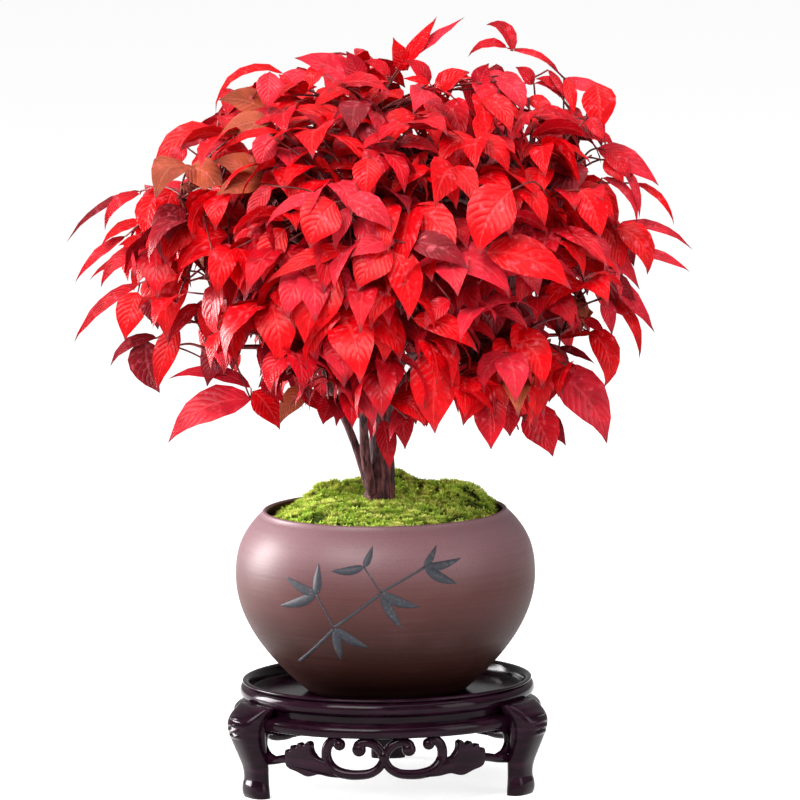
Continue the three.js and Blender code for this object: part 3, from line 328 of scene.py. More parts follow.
# Root, tip, millimetres towards the viewer, width share, droop in degrees and tint
PHOTO_LEAVES = (
    # High middle
    ((400, 66), (437, 16), 0, 0.26, -12, "scarlet"), ((404, 60), (465, 17), 0, 0.16, 4, "rose"),
    ((408, 70), (393, 37), 0, 0.52, -20, "scarlet"), ((430, 82), (404, 60), 8, 0.5, 40, "crimson"),
    ((354, 84), (294, 58), 14, 0.46, 42, "rose"), ((358, 84), (346, 51), 10, 0.6, 40, "rose"),
    ((390, 76), (363, 61), 12, 0.42, 50, "crimson"), ((436, 92), (470, 72), 16, 0.56, 50, "scarlet"),
    ((478, 88), (489, 63), 14, 0.72, 20, "rose"), ((322, 66), (306, 94), 20, 0.5, 50, "scarlet"),
    ((534, 84), (515, 67), 14, 0.6, 30, "crimson"), ((498, 76), (527, 92), 12, 0.5, 40, "rose"),
    # High right, and the three leaves on the bare twig
    ((562, 98), (533, 84), 12, 0.3, 80, "crimson"), ((562, 92), (535, 79), 13, 0.4, 60, "crimson"),
    ((507, 48), (468, 57), 10, 0.24, 96, "crimson"),
    ((511, 51), (486, 25), 10, 0.36, 120, "crimson"), ((513, 51), (562, 78), 10, 0.13, 70, "crimson"),
    ((564, 79), (613, 91), 12, 0.2, 14, "rose"), ((572, 81), (597, 93), 14, 0.5, 10, "rose"),
    ((596, 84), (601, 132), 20, 0.72, 30, "scarlet"),
    ((566, 78), (574, 116), 16, 0.34, 30, "scarlet"), ((548, 70), (568, 104), 14, 0.2, 30, "crimson"),
    # Right side, downwards
    ((597, 148), (659, 186), 10, 0.36, 34, "rose"), ((602, 178), (636, 226), 14, 0.15, 98, "rose"),
    ((622, 166), (639, 219), 14, 0.16, 60, "rose"), ((604, 160), (624, 184), 16, 0.6, 30, "scarlet"),
    ((606, 150), (630, 182), 14, 0.5, 40, "crimson"), ((634, 183), (674, 226), 0, 0.13, 72, "scarlet"),
    ((618, 225), (693, 250), 0, 0.14, 60, "rose"), ((636, 250), (690, 272), 0, 0.2, 30, "rose"),
    ((616, 228), (647, 275), 34, 0.44, 104, "scarlet"), ((604, 226), (622, 272), 30, 0.5, 50, "scarlet"),
    ((620, 236), (634, 267), 20, 0.5, 30, "maroon"), ((580, 238), (640, 290), 30, 0.3, 50, "rose"),
    ((574, 188), (614, 222), 40, 0.5, 60, "scarlet"), ((606, 274), (655, 333), 12, 0.24, 22, "rose"),
    ((604, 276), (635, 302), 10, 0.5, 40, "maroon"), ((606, 296), (636, 324), 8, 0.5, 40, "rose"),
    ((612, 298), (639, 359), 10, 0.18, 70, "scarlet"), ((559, 339), (600, 337), 24, 0.2, 50, "scarlet"),
    ((589, 332), (604, 387), 26, 0.4, 120, "scarlet"), ((559, 347), (595, 364), 8, 0.24, 30, "maroon"),
    ((553, 372), (607, 444), 30, 0.5, 60, "rose"), ((543, 341), (537, 424), 100, 0.42, 40, "scarlet"),
    ((527, 408), (553, 457), 40, 0.72, 34, "crimson"), ((537, 412), (566, 446), 30, 0.5, 28, "maroon"),
    # Left side, downwards
    ((141, 191), (66, 243), 0, 0.09, 50, "maroon"), ((140, 194), (105, 231), 4, 0.22, 96, "crimson"),
    ((143, 222), (101, 246), 4, 0.24, 60, "scarlet"), ((126, 236), (75, 283), 4, 0.16, 40, "crimson"),
    ((148, 240), (118, 246), 8, 0.4, 30, "scarlet"), ((144, 251), (101, 288), 8, 0.28, 80, "crimson"),
    ((140, 254), (89, 281), 6, 0.14, 50, "crimson"), ((140, 283), (74, 343), 6, 0.15, 46, "crimson"),
    ((138, 292), (125, 341), 12, 0.6, 30, "scarlet"), ((157, 338), (110, 367), 6, 0.22, 80, "maroon"),
    ((146, 340), (160, 393), 8, 0.66, -60, "maroon"), ((178, 326), (157, 392), 14, 0.36, 30, "scarlet"),
    ((184, 260), (168, 341), 24, 0.44, 60, "scarlet"), ((208, 256), (231, 307), 30, 0.5, 70, "crimson"),
    ((214, 298), (206, 341), 20, 0.56, 30, "scarlet"), ((240, 318), (232, 364), 26, 0.6, 40, "crimson"),
    ((222, 340), (207, 387), 18, 0.56, 30, "maroon"), ((200, 304), (168, 346), 20, 0.3, 50, "crimson"),
    ((192, 246), (206, 276), 18, 0.5, 40, "maroon"), ((296, 366), (258, 388), 26, 0.6, 40, "maroon"),
    ((251, 400), (168, 443), 22, 0.38, 70, "rose"), ((253, 391), (280, 430), 24, 0.6, 30, "scarlet"),
    ((251, 388), (168, 379), 18, 0.2, 64, "rose"), ((308, 388), (280, 424), 30, 0.5, 50, "bronze"),
    # High left, with the bronze leaves
    ((284, 74), (216, 113), 0, 0.1, 124, "scarlet"), ((210, 127), (155, 184), 6, 0.28, 84, "scarlet"),
    ((238, 116), (204, 132), 6, 0.3, 8, "crimson"), ((236, 140), (197, 158), 40, 0.4, 40, "rose"),
    ((268, 112), (218, 100), 60, 0.6, 50, "bronze"), ((270, 122), (218, 138), 80, 0.46, 50, "bronze"),
    ((262, 178), (212, 161), 98, 0.56, 40, "bronze"), ((262, 184), (215, 196), 110, 0.5, 50, "bronze"),
    ((270, 72), (268, 112), 70, 0.62, 30, "rose"), ((268, 134), (262, 172), 100, 0.66, 30, "rose"),
    ((281, 132), (214, 158), 92, 0.13, 60, "scarlet"), ((271, 186), (247, 230), 140, 0.36, 40, "crimson"),
    # Large leaves on the front
    ((326, 198), (265, 228), 150, 0.2, 70, "rose"), ((352, 249), (266, 284), 158, 0.22, 40, "scarlet"),
    ((395, 241), (350, 258), 168, 0.5, 50, "rose"), ((350, 208), (335, 250), 158, 0.4, 40, "rose"),
    ((368, 158), (366, 198), 158, 0.7, 40, "scarlet"), ((362, 284), (364, 317), 160, 0.36, 30, "rose"),
    ((488, 396), (491, 450), 130, 0.6, 40, "crimson"), ((440, 348), (435, 434), 140, 0.58, 40, "scarlet"),
    ((494, 368), (463, 426), 128, 0.62, 40, "scarlet"), ((512, 190), (480, 255), 164, 0.7, 60, "scarlet"),
    ((486, 253), (572, 290), 160, 0.46, 60, "scarlet"), ((409, 243), (468, 270), 168, 0.46, 60, "maroon"),
    ((392, 249), (408, 321), 166, 0.46, 60, "scarlet"), ((413, 319), (478, 353), 160, 0.36, 60, "scarlet"),
    ((335, 202), (310, 249), 164, 0.84, 50, "scarlet"), ((346, 200), (392, 232), 168, 0.5, 60, "rose"),
    ((212, 250), (243, 289), 110, 0.62, 60, "rose"), ((285, 229), (263, 283), 136, 0.5, 50, "scarlet"),
    ((338, 268), (307, 350), 156, 0.58, 50, "scarlet"), ((390, 246), (358, 291), 168, 0.76, 50, "scarlet"),
    ((348, 328), (344, 388), 146, 0.7, 50, "crimson"), ((368, 352), (359, 419), 132, 0.5, 50, "scarlet"),
    ((383, 420), (390, 471), 60, 0.4, 20, "crimson"), ((398, 404), (405, 450), 60, 0.5, 40, "crimson"),
    ((334, 398), (323, 425), 70, 0.8, 40, "crimson"), ((346, 402), (338, 421), 70, 0.8, 20, "crimson"),
    ((300, 392), (326, 416), 60, 0.5, 50, "crimson"),
    ((352, 396), (350, 424), 50, 0.5, 40, "scarlet"), ((372, 408), (371, 441), 40, 0.26, 20, "rose"),
    # Small leaves that close the crown between the others
    ((250, 102), (216, 115), 20, 0.5, 30, "crimson"), ((186, 147), (168, 172), 30, 0.5, 20, "crimson"),
    ((300, 87), (279, 96), 30, 0.6, 20, "scarlet"), ((498, 89), (474, 92), 60, 0.6, 10, "crimson"),
    ((418, 396), (427, 427), 110, 0.8, 10, "scarlet"), ((262, 381), (284, 403), 60, 0.6, 20, "crimson"),
    ((146, 296), (158, 330), 14, 0.6, 40, "maroon"), ((206, 136), (180, 151), 40, 0.4, 30, "maroon"),
    ((202, 156), (196, 180), 40, 0.6, 20, "crimson"), ((160, 190), (143, 221), 10, 0.6, 30, "crimson"),
    ((350, 87), (311, 112), 30, 0.3, 50, "scarlet"), ((430, 84), (402, 79), 20, 0.3, 30, "scarlet"),
    ((570, 108), (584, 119), 16, 0.5, 10, "crimson"), ((528, 98), (556, 116), 20, 0.5, 30, "scarlet"),
    ((588, 117), (604, 142), 30, 0.5, 20, "crimson"), ((604, 298), (612, 336), 22, 0.4, 30, "rose"),
    ((584, 318), (606, 335), 22, 0.4, 20, "crimson"), ((556, 374), (549, 403), 40, 0.6, 20, "crimson"),
    ((506, 398), (510, 437), 100, 0.7, 30, "crimson"), ((424, 388), (432, 429), 120, 0.5, 30, "scarlet"),
    ((404, 382), (416, 425), 90, 0.6, 30, "crimson"), ((450, 300), (424, 330), 162, 0.5, 50, "crimson"),
    ((580, 190), (600, 240), 100, 0.56, 50, "scarlet"),
)
# Twigs that show against the sky, from root to tip, and their millimetres towards the viewer
PHOTO_TWIGS = ((((566, 80), (549, 64), (530, 50), (511, 49)), 10), (((174, 346), (190, 352), (204, 359)), 14))
PHOTO_TWIG_RADII = (0.7, 0.6)
PHOTO_LEAF_ADVANCE = 8
FACE_VIEWER = 0.62
HUB_REACH = 10
HUB_TWIG_RADIUS = 0.8

# A leaf's own shape: places along it, places across it and how its width runs from root to tip
LEAF_STATIONS = (0.0, 0.07, 0.18, 0.32, 0.47, 0.62, 0.76, 0.89, 1.0)
LEAF_COLUMNS = (-1.0, -0.5, 0.0, 0.5, 1.0)
LEAF_ROOT_POWER = 0.80
LEAF_TIP_POWER = 1.42
LEAF_FOLD = 0.46
LEAF_CUP = 0.34
LEAF_WAVE = 0.028
BLADE_UVS = "leaf"

# Colours that the panel leaves alone
WHITE = (1.0, 1.0, 1.0, 1.0)
FLOOR_GREY = (0.4, 0.4, 0.4, 1.0)
WORN_PAINT = (0.055, 0.05, 0.055, 1.0)
DARK_SOIL = (0.02, 0.03, 0.006, 1.0)
MOSSY_SOIL = (0.12, 0.20, 0.02, 1.0)
BARK_FURROW = (0.018, 0.005, 0.007, 1.0)
BARK_RIDGE = (0.16, 0.045, 0.048, 1.0)
OLD_BARK = (0.13, 0.055, 0.062, 1.0)
DARK_TWIG = (0.07, 0.006, 0.008, 1.0)
RED_TWIG = (0.20, 0.02, 0.018, 1.0)
# Pale pink of the painted sheen on the leaves' crests
LEAF_PAINTED_SHEEN = (0.74, 0.13, 0.17, 1.0)
LEAF_TIP = (0.10, 0.03, 0.04, 1.0)

# Lights, in metres: place, size and colour
LIGHTS = {
    "key": ((-0.9, -1.5, 1.7), (1.5, 1.2), (1.0, 0.99, 0.97)),
    "fill": ((1.7, -1.1, 0.8), (1.0, 1.4), (1.0, 1.0, 1.0)),
    "side": ((-1.15, 0.4, 0.42), (0.5, 0.7), (1.0, 0.97, 0.98)),
    "top": ((0.2, -0.2, 2.4), (2.4, 2.4), (1.0, 1.0, 1.0)),
}
WORLD_STRENGTH = 0.34
FLOOR_SIZE = 60.0
FLOOR_GLOW = 0.8
SENSOR_WIDTH = 36.0


# Settings shown in the panel

def length_property(name, text, default):
    return bpy.props.FloatProperty(name=name, description=text, default=default, unit="LENGTH", min=0.0)


def color_property(name, text, default):
    return bpy.props.FloatVectorProperty(
        name=name, description=text, default=default, subtype="COLOR", size=4, min=0.0, max=1.0)


def power_property(name, text, default):
    return bpy.props.FloatProperty(name=name, description=text, default=default, unit="POWER")


def angle_property(name, text, degrees):
    return bpy.props.FloatProperty(
        name=name, description=text, default=math.radians(degrees), subtype="ANGLE")


class StandSettings(bpy.types.PropertyGroup):
    """Finish of the carved stand."""
    wood: color_property("Wood", "Colour of the dark lacquered wood", (0.006, 0.0012, 0.0035, 1.0))
    grain: color_property("Grain", "Colour of the lighter grain", (0.016, 0.004, 0.010, 1.0))


class PotSettings(bpy.types.PropertyGroup):
    """Finish of the clay pot."""
    # The shoulder's greyer, paler colour is painted light and the foot's darker colour is painted shade, over
    # the clay's own tone.
    lit_shoulder_clay: color_property("Upper clay", "Colour of the shoulder", (0.160, 0.084, 0.096, 1.0))
    middle_clay: color_property("Middle clay", "Colour at the belly", (0.068, 0.025, 0.024, 1.0))
    shaded_foot_clay: color_property("Lower clay", "Colour near the foot", (0.026, 0.008, 0.006, 1.0))
    paint: color_property("Paint", "Colour of the painted sprig", (0.020, 0.022, 0.030, 1.0))


class MossSettings(bpy.types.PropertyGroup):
    """Sizes and colours of the moss."""
    tufts: bpy.props.IntProperty(name="Tufts", description="How many small tufts", default=9000, min=1)
    tuft_size: length_property("Tuft size", "Length of a tuft's blades", 3.7 * MM)
    bright: color_property("Bright", "Colour of fresh tufts", (0.86, 0.98, 0.20, 1.0))
    green: color_property("Green", "Colour of most tufts", (0.58, 0.82, 0.10, 1.0))
    dull: color_property("Dull", "Colour of old tufts", (0.75, 0.66, 0.20, 1.0))


class CrownSettings(bpy.types.PropertyGroup):
    """Sizes, seed and colours of the leaves."""
    seed: bpy.props.IntProperty(name="Seed", description="Start of the growth rule", default=7702, min=0)
    leaf_length: length_property("Leaf length", "Usual length of a leaflet", 47 * MM)
    leaf_width: bpy.props.FloatProperty(
        name="Leaf width", description="Width as a share of the length", default=0.5, min=0.1, max=1.0)
    scarlet: color_property("Scarlet", "Brightest leaves", (0.60, 0.001, 0.004, 1.0))
    crimson: color_property("Crimson", "Most leaves", (0.46, 0.003, 0.010, 1.0))
    rose: color_property("Rose", "Paler leaves", (0.56, 0.013, 0.028, 1.0))
    maroon: color_property("Maroon", "Shaded inner leaves", (0.20, 0.004, 0.010, 1.0))
    bronze: color_property("Bronze", "Greener older leaves", (0.32, 0.056, 0.024, 1.0))


class StageSettings(bpy.types.PropertyGroup):
    """Camera and light."""
    distance: length_property("Distance", "From the camera to the plant", 8.0)
    elevation: angle_property("Elevation", "Camera's angle above level", 8)
    roll: angle_property("Roll", "Tilt of the picture", -0.8)
    frame_width: length_property("Frame width", "Width seen at the plant", 0.5334)
    key_power: power_property("Key light", "Power of the large soft light", 80.0)
    fill_power: power_property("Fill light", "Power of the light on the right", 20.0)
    side_power: power_property("Side light", "Power of the low light on the left", 42.0)
    top_power: power_property("Top light", "Power of the wide light overhead", 44.0)


# Shader expressions

class Wire:
    """A shader socket that can be added, multiplied and so on."""

    def __init__(self, finish, socket):
        self.finish = finish
        self.socket = socket

    def __add__(self, other):
        return self.finish.number("ADD", self, other)

    def __radd__(self, other):
        return self.finish.number("ADD", other, self)

    def __sub__(self, other):
        return self.finish.number("SUBTRACT", self, other)

    def __rsub__(self, other):
        return self.finish.number("SUBTRACT", other, self)

    def __mul__(self, other):
        return self.finish.number("MULTIPLY", self, other)

    def __rmul__(self, other):
        return self.finish.number("MULTIPLY", other, self)


class Finish:
    """A material whose nodes all come from one method."""

    def __init__(self, name):
        self.material = bpy.data.materials.new(name)
        self.material.use_nodes = True
        self.tree = self.material.node_tree
        self.tree.nodes.clear()

    def node(self, kind, settings, sockets, output=0):
        made = self.tree.nodes.new(kind)
        for key, value in settings.items():
            setattr(made, key, value)
        for key, value in sockets.items():
            if isinstance(value, Wire):
                self.tree.links.new(value.socket, made.inputs[key])
            else:
                made.inputs[key].default_value = value
        return Wire(self, made.outputs[output]) if made.outputs else None

    def number(self, operation, one, other):
        return self.node("ShaderNodeMath", {"operation": operation}, {0: one, 1: other})

    def mix(self, factor, one, other):
        settings = {"data_type": "RGBA", "clamp_factor": True}
        return self.node("ShaderNodeMix", settings, {0: factor, 6: one, 7: other}, 2)

    def between(self, value, low, high):
        settings = {"interpolation_type": "SMOOTHSTEP"}
        return self.node("ShaderNodeMapRange", settings, {0: value, 1: low, 2: high, 3: 0.0, 4: 1.0})

    def place(self):
        return self.node("ShaderNodeTexCoord", {}, {}, "Object")

    def stretched(self, scale):
        return self.node("ShaderNodeMapping", {}, {"Vector": self.place(), "Scale": scale})

    def cloud(self, vector, scale, detail=4.0):
        sockets = {"Vector": vector, "Scale": scale, "Detail": detail, "Roughness": 0.55}
        return self.node("ShaderNodeTexNoise", {}, sockets)

    def part_of(self, vector, axis):
        return self.node("ShaderNodeSeparateXYZ", {}, {0: vector}, axis)

    def on_blade(self):
        """Shares across and along a blade, from its own unwrapping."""
        around = self.node("ShaderNodeUVMap", {"uv_map": BLADE_UVS}, {})
        return self.part_of(around, 0), self.part_of(around, 1)

    def size_of(self, value):
        return self.number("ABSOLUTE", value, 0.0)

    def surface(self, color, roughness, height=None, depth=0.0, coat=0.0, shine=0.3):
        sockets = {"Base Color": color, "Roughness": roughness, "Coat Weight": coat, "Coat Roughness": 0.35,
                   "Specular IOR Level": shine}
        if height is not None:
            sockets["Normal"] = self.node(
                "ShaderNodeBump", {}, {"Height": height, "Distance": depth, "Strength": 1.0})
        shader = self.node("ShaderNodeBsdfPrincipled", {}, sockets)
        self.node("ShaderNodeOutputMaterial", {}, {"Surface": shader})
        return self.material


def tinted(tint, scale, offset=0.0):
    """A colour made lighter or darker."""
    return tuple(min(1.0, channel * scale + offset) for channel in tint[:3]) + (1.0,)


def stand_finish(settings):
    finish = Finish("Dark lacquered wood")
    grain = finish.cloud(finish.stretched((14.0, 14.0, 90.0)), scale=3.0)
    fine = finish.cloud(finish.place(), scale=900.0, detail=2.0)
    color = finish.mix(finish.between(grain, 0.4, 0.72), tuple(settings.wood), tuple(settings.grain))
    return finish.surface(color, 0.08 + 0.12 * grain, grain + 0.25 * fine, depth=0.0001, shine=0.11)


def clay_finish(settings):
    """Clay with painted shade that darkens it towards the foot and painted light that makes the shoulder
    greyer, over its own tone, with thrown rings and speckles.
    """
    finish = Finish("Purple clay")
    lower = tuple(settings.shaded_foot_clay)
    middle = tuple(settings.middle_clay)
    upper = tuple(settings.lit_shoulder_clay)
    height = finish.part_of(finish.place(), 2)
    rings = finish.cloud(finish.stretched((4.0, 4.0, 260.0)), scale=2.2)
    speckle = finish.cloud(finish.place(), scale=1500.0, detail=2.0)
    blotch = finish.cloud(finish.place(), scale=26.0)
    uneven = 0.22 * (blotch - 0.5) + 0.2 * (rings - 0.5)
    # Masks of the painted light on the shoulder, which also gives the shoulder its coat, and of the painted
    # shade towards the foot
    shoulder = finish.between(height, *(z * MM for z in CLAY_SHOULDER_LIGHT_Z))
    belly = finish.between(height, *(z * MM for z in CLAY_FOOT_SHADE_Z))
    low = finish.mix(belly + uneven, lower, middle)
    color = finish.mix(shoulder + uneven, low, upper)
    spotted = finish.mix(finish.between(speckle, 0.56, 0.7) * 0.4, color, lower)
    relief = rings + 0.5 * speckle
    return finish.surface(spotted, 0.42 + 0.12 * speckle, relief, depth=0.0002, coat=shoulder * 0.3,
                          shine=0.12)


def paint_finish(settings):
    finish = Finish("Slate brushwork")
    worn = finish.cloud(finish.place(), scale=420.0)
    color = finish.mix(finish.between(worn, 0.5, 0.75), tuple(settings.paint), WORN_PAINT)
    return finish.surface(color, 0.5 + 0.2 * worn)


def soil_finish():
    finish = Finish("Moss bed")
    crumbs = finish.cloud(finish.place(), scale=600.0)
    color = finish.mix(finish.between(crumbs, 0.4, 0.65), DARK_SOIL, MOSSY_SOIL)
    return finish.surface(color, 0.95, crumbs, depth=0.0015)


def moss_finish(name, tint):
    """Blades with painted shade that darkens them towards the root, and bright at the tip."""
    finish = Finish(name)
    patch = finish.cloud(finish.place(), scale=160.0)
    _, along = finish.on_blade()
    color = finish.mix(finish.between(along, 0.1, 0.85) * (0.55 + 0.45 * patch), tinted(tint, 0.4), tint)
    return finish.surface(color, 0.6 + 0.2 * patch)


def bark_finish():
    finish = Finish("Brown bark")
    fibres = finish.cloud(finish.stretched((1.0, 1.0, 0.16)), scale=520.0, detail=6.0)
    patches = finish.cloud(finish.place(), scale=90.0)
    color = finish.mix(finish.between(fibres, 0.38, 0.66), BARK_FURROW, BARK_RIDGE)
    aged = finish.mix(finish.between(patches, 0.5, 0.75) * 0.6, color, OLD_BARK)
    return finish.surface(aged, 0.7 + 0.2 * fibres, fibres, depth=0.0012)


def twig_finish():
    finish = Finish("Red twig bark")
    patches = finish.cloud(finish.place(), scale=120.0)
    color = finish.mix(finish.between(patches, 0.35, 0.65), DARK_TWIG, RED_TWIG)
    return finish.surface(color, 0.45 + 0.2 * patches)


def leaf_finish(name, tint):
    """Glossy leaf with a pale midrib, side veins, a painted pink sheen on its crest and a dry tip."""
    finish = Finish(name)
    across, along = finish.on_blade()
    aside = finish.size_of(across - 0.5) * 2.0
    phase = along * 9.0 - aside * 2.6
    ripple = finish.size_of(finish.number("FRACT", phase, 0.0) - 0.5) * 2.0
    veins = finish.between(ripple, 0.80, 1.0)
    midrib = 1.0 - finish.between(aside, 0.02, 0.12)
    cloudy = finish.cloud(finish.place(), scale=55.0, detail=3.0)
    shaded = finish.mix(finish.between(cloudy, 0.36, 0.66), tint, tinted(tint, 0.6))
    streaks = finish.cloud(finish.place(), scale=210.0)
    # The crest's pale pink streaks are a painted sheen, standing in for the sky's reflection on the leaf's
    # top.
    crest = finish.between(along, 0.0, 0.25) * (1.0 - finish.between(along, 0.35, 0.8))
    painted_sheen = crest * finish.between(streaks, 0.52, 0.74)
    sheened = finish.mix(painted_sheen * 0.42, shaded, LEAF_PAINTED_SHEEN)
    ribbed = finish.mix(midrib * 0.4 + veins * 0.14, sheened, tinted(tint, 1.15, 0.035))
    tipped = finish.mix(finish.between(along, 0.84, 1.0) * 0.75, ribbed, LEAF_TIP)
    height = 1.0 - ripple * ripple - midrib
    return finish.surface(tipped, 0.22 + 0.2 * cloudy, height, depth=0.0002, shine=0.12)


def floor_finish():
    finish = Finish("Plain pale floor")
    sockets = {"Base Color": FLOOR_GREY, "Roughness": 0.9, "Specular IOR Level": 0.0,
               "Emission Color": WHITE, "Emission Strength": FLOOR_GLOW}
    shader = finish.node("ShaderNodeBsdfPrincipled", {}, sockets)
    finish.node("ShaderNodeOutputMaterial", {}, {"Surface": shader})
    return finish.material


# Modelling helpers

def deselect_all():
    bpy.ops.object.select_all(action="DESELECT")


def finish_piece(piece, name, material, nodes=()):
    """Names a piece, gives it its material, hangs it on the root body and hides the nodes that it replaces.
    """
    piece.name = name
    piece.data.name = name
    piece.data.materials.clear()
    piece.data.materials.append(material)
    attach(piece, "root")
    if nodes:
        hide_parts(*nodes)


def select_only(piece):
    deselect_all()
    piece.select_set(True)
    bpy.context.view_layer.objects.active = piece


def smooth(piece, angle=180):
    """Shades a piece smooth, or smooth up to an angle in degrees."""
    select_only(piece)
    if angle >= 180:
        bpy.ops.object.shade_smooth()
    else:
        bpy.ops.object.shade_smooth_by_angle(angle=math.radians(angle))


def join_pieces(pieces):
    deselect_all()
    for piece in pieces:
        piece.select_set(True)
    bpy.context.view_layer.objects.active = pieces[0]
    bpy.ops.object.join()
    return bpy.context.object


def put_places(piece, places):
    piece.data.vertices.foreach_set("co", (np.asarray(places) * MM).astype(np.float32).ravel())
    piece.data.update()


def get_places(piece):
    flat = np.empty(len(piece.data.vertices) * 3, np.float32)
    piece.data.vertices.foreach_get("co", flat)
    return flat.reshape(-1, 3).astype(float) / MM


def drawn_line(points):
    """An object in edit mode that holds a line through (x, z) points, drawn by extruding one vertex."""
    deselect_all()
    x, z = points[0]
    bpy.ops.mesh.primitive_plane_add(size=MM, location=(x * MM, 0.0, z * MM))
    bpy.ops.object.transform_apply(location=True, rotation=False, scale=False)
    bpy.ops.object.mode_set(mode="EDIT")
    bpy.ops.mesh.select_mode(type="VERT")
    bpy.ops.mesh.select_all(action="SELECT")
    bpy.ops.mesh.merge(type="CENTER")
    for (old_x, old_z), (new_x, new_z) in zip(points, points[1:]):
        step = ((new_x - old_x) * MM, 0.0, (new_z - old_z) * MM)
        bpy.ops.mesh.extrude_vertices_move(TRANSFORM_OT_translate={"value": step})
    bpy.ops.mesh.select_all(action="SELECT")
    return bpy.context.object


def turned(profile):
    """A closed turned piece from a profile of (radius, height) points that starts and ends on the axis."""
    piece = drawn_line(profile)
    bpy.ops.mesh.spin(steps=TURNED_STEPS, angle=math.tau, center=(0, 0, 0), axis=(0, 0, 1))
    bpy.ops.mesh.select_all(action="SELECT")
    bpy.ops.mesh.remove_doubles(threshold=0.005 * MM)
    bpy.ops.mesh.normals_make_consistent(inside=False)
    bpy.ops.object.mode_set(mode="OBJECT")
    return piece


def plate(outline, depth, bevel):
    """A flat plate of an (x, z) outline with soft edges, centred on y = 0."""
    piece = drawn_line(outline)
    bpy.ops.mesh.edge_face_add()
    bpy.ops.transform.translate(value=(0.0, -depth * MM / 2, 0.0))
    bpy.ops.mesh.extrude_region_move(TRANSFORM_OT_translate={"value": (0.0, depth * MM, 0.0)})
    bpy.ops.mesh.select_all(action="SELECT")
    bpy.ops.mesh.normals_make_consistent(inside=False)
    bpy.ops.mesh.bevel(offset=bevel * MM, segments=3, affect="EDGES")
    bpy.ops.mesh.quads_convert_to_tris()
    bpy.ops.object.mode_set(mode="OBJECT")
    return piece


def levelled_cylinder(sides, levels, place):
    """A cylinder cut into levels, put by place(turn, share of the height, share of the radius)."""
    deselect_all()
    bpy.ops.mesh.primitive_cylinder_add(vertices=sides, radius=1.0, depth=1.0, end_fill_type="TRIFAN")
    piece = bpy.context.object
    bpy.ops.object.mode_set(mode="EDIT")
    bpy.ops.mesh.select_mode(type="EDGE")
    bpy.ops.mesh.select_all(action="DESELECT")
    bpy.ops.object.mode_set(mode="OBJECT")
    corners = piece.data.vertices
    for edge in piece.data.edges:
        low, high = (corners[i].co.z for i in edge.vertices)
        edge.select = abs(high - low) > 0.5
    bpy.ops.object.mode_set(mode="EDIT")
    bpy.ops.mesh.subdivide(number_cuts=levels - 1)
    bpy.ops.object.mode_set(mode="OBJECT")
    moved = [place(math.atan2(v.co.y, v.co.x), v.co.z + 0.5, math.hypot(v.co.x, v.co.y)) for v in corners]
    put_places(piece, moved)
    return piece


def rod(points, radii):
    """A round rod along points in millimetres, with a radius at each and capped ends."""
    deselect_all()
    bpy.ops.curve.primitive_nurbs_path_add()
    piece = bpy.context.object
    curve = piece.data
    curve.splines.clear()
    spline = curve.splines.new("POLY")
    spline.points.add(len(points) - 1)
    for spot, place, radius in zip(spline.points, points, radii):
        spot.co = (place[0] * MM, place[1] * MM, place[2] * MM, 1.0)
        spot.radius = radius
    curve.dimensions = "3D"
    curve.bevel_depth = MM
    curve.bevel_resolution = 3
    curve.use_fill_caps = True
    bpy.ops.object.convert(target="MESH")
    return bpy.context.object


def mesh_from(name, places, faces, flat_uvs=None):
    """Many small things as one mesh, from places in millimetres and, for blades, their unwrapping."""
    mesh = bpy.data.meshes.new(name)
    mesh.from_pydata((np.asarray(places) * MM).tolist(), [], faces)
    if flat_uvs is not None:
        corners = np.empty(len(mesh.loops), np.int32)
        mesh.loops.foreach_get("vertex_index", corners)
        uvs = mesh.uv_layers.new(name=BLADE_UVS)
        uvs.data.foreach_set("uv", flat_uvs[corners].astype(np.float32).ravel())
    mesh.shade_smooth()
    mesh.update()
    piece = bpy.data.objects.new(name, mesh)
    bpy.context.collection.objects.link(piece)
    return piece


def smooth_line(points, steps):
    """A centripetal curve through the points, as (count, dimension) places."""
    known = [np.asarray(point, float) for point in points]
    known = [2 * known[0] - known[1], *known, 2 * known[-1] - known[-2]]
    line = []
    for a, b, c, d in zip(known, known[1:], known[2:], known[3:]):
        steps_between = [math.sqrt(max(1e-6, np.linalg.norm(q - p))) for p, q in ((a, b), (b, c), (c, d))]
        knots = np.cumsum([0.0] + steps_between)
        for at in np.linspace(knots[1], knots[2], steps, endpoint=False):
            line.append(curve_place((a, b, c, d), knots, at))
    line.append(known[-2])
    return np.array(line)


def curve_place(corners, knots, at):
    """A place between the two middle corners, by mixing neighbours three times."""
    def mixed(one, other, start, end):
        share = (at - knots[start]) / (knots[end] - knots[start])
        return (1 - share) * one + share * other

    a, b, c, d = corners
    ab = mixed(a, b, 0, 1)
    bc = mixed(b, c, 1, 2)
    cd = mixed(c, d, 2, 3)
    return mixed(mixed(ab, bc, 0, 2), mixed(bc, cd, 1, 3), 1, 2)


class Path:
    """A limb's centre line, with places and directions by share of its length."""

    def __init__(self, points, radii):
        self.radii = radii
        self.line = smooth_line(points, 14)
        steps = np.linalg.norm(np.diff(self.line, axis=0), axis=1)
        self.reached = np.concatenate(([0.0], np.cumsum(steps)))
        self.length = self.reached[-1]

    def at(self, share):
        return np.array([np.interp(share * self.length, self.reached, self.line[:, k]) for k in range(3)])

    def towards(self, share):
        ahead = self.at(min(1.0, share + 0.01)) - self.at(max(0.0, share - 0.01))
        return ahead / np.linalg.norm(ahead)

    def radius(self, share):
        return float(np.interp(share, np.linspace(0, 1, len(self.radii)), self.radii))


def side_vectors(direction):
    """Two directions square to the given one and to each other."""
    reference = UP if abs(direction[2]) < 0.95 else np.array((1.0, 0.0, 0.0))
    side = np.cross(direction, reference)
    side /= np.linalg.norm(side)
    return side, np.cross(side, direction)


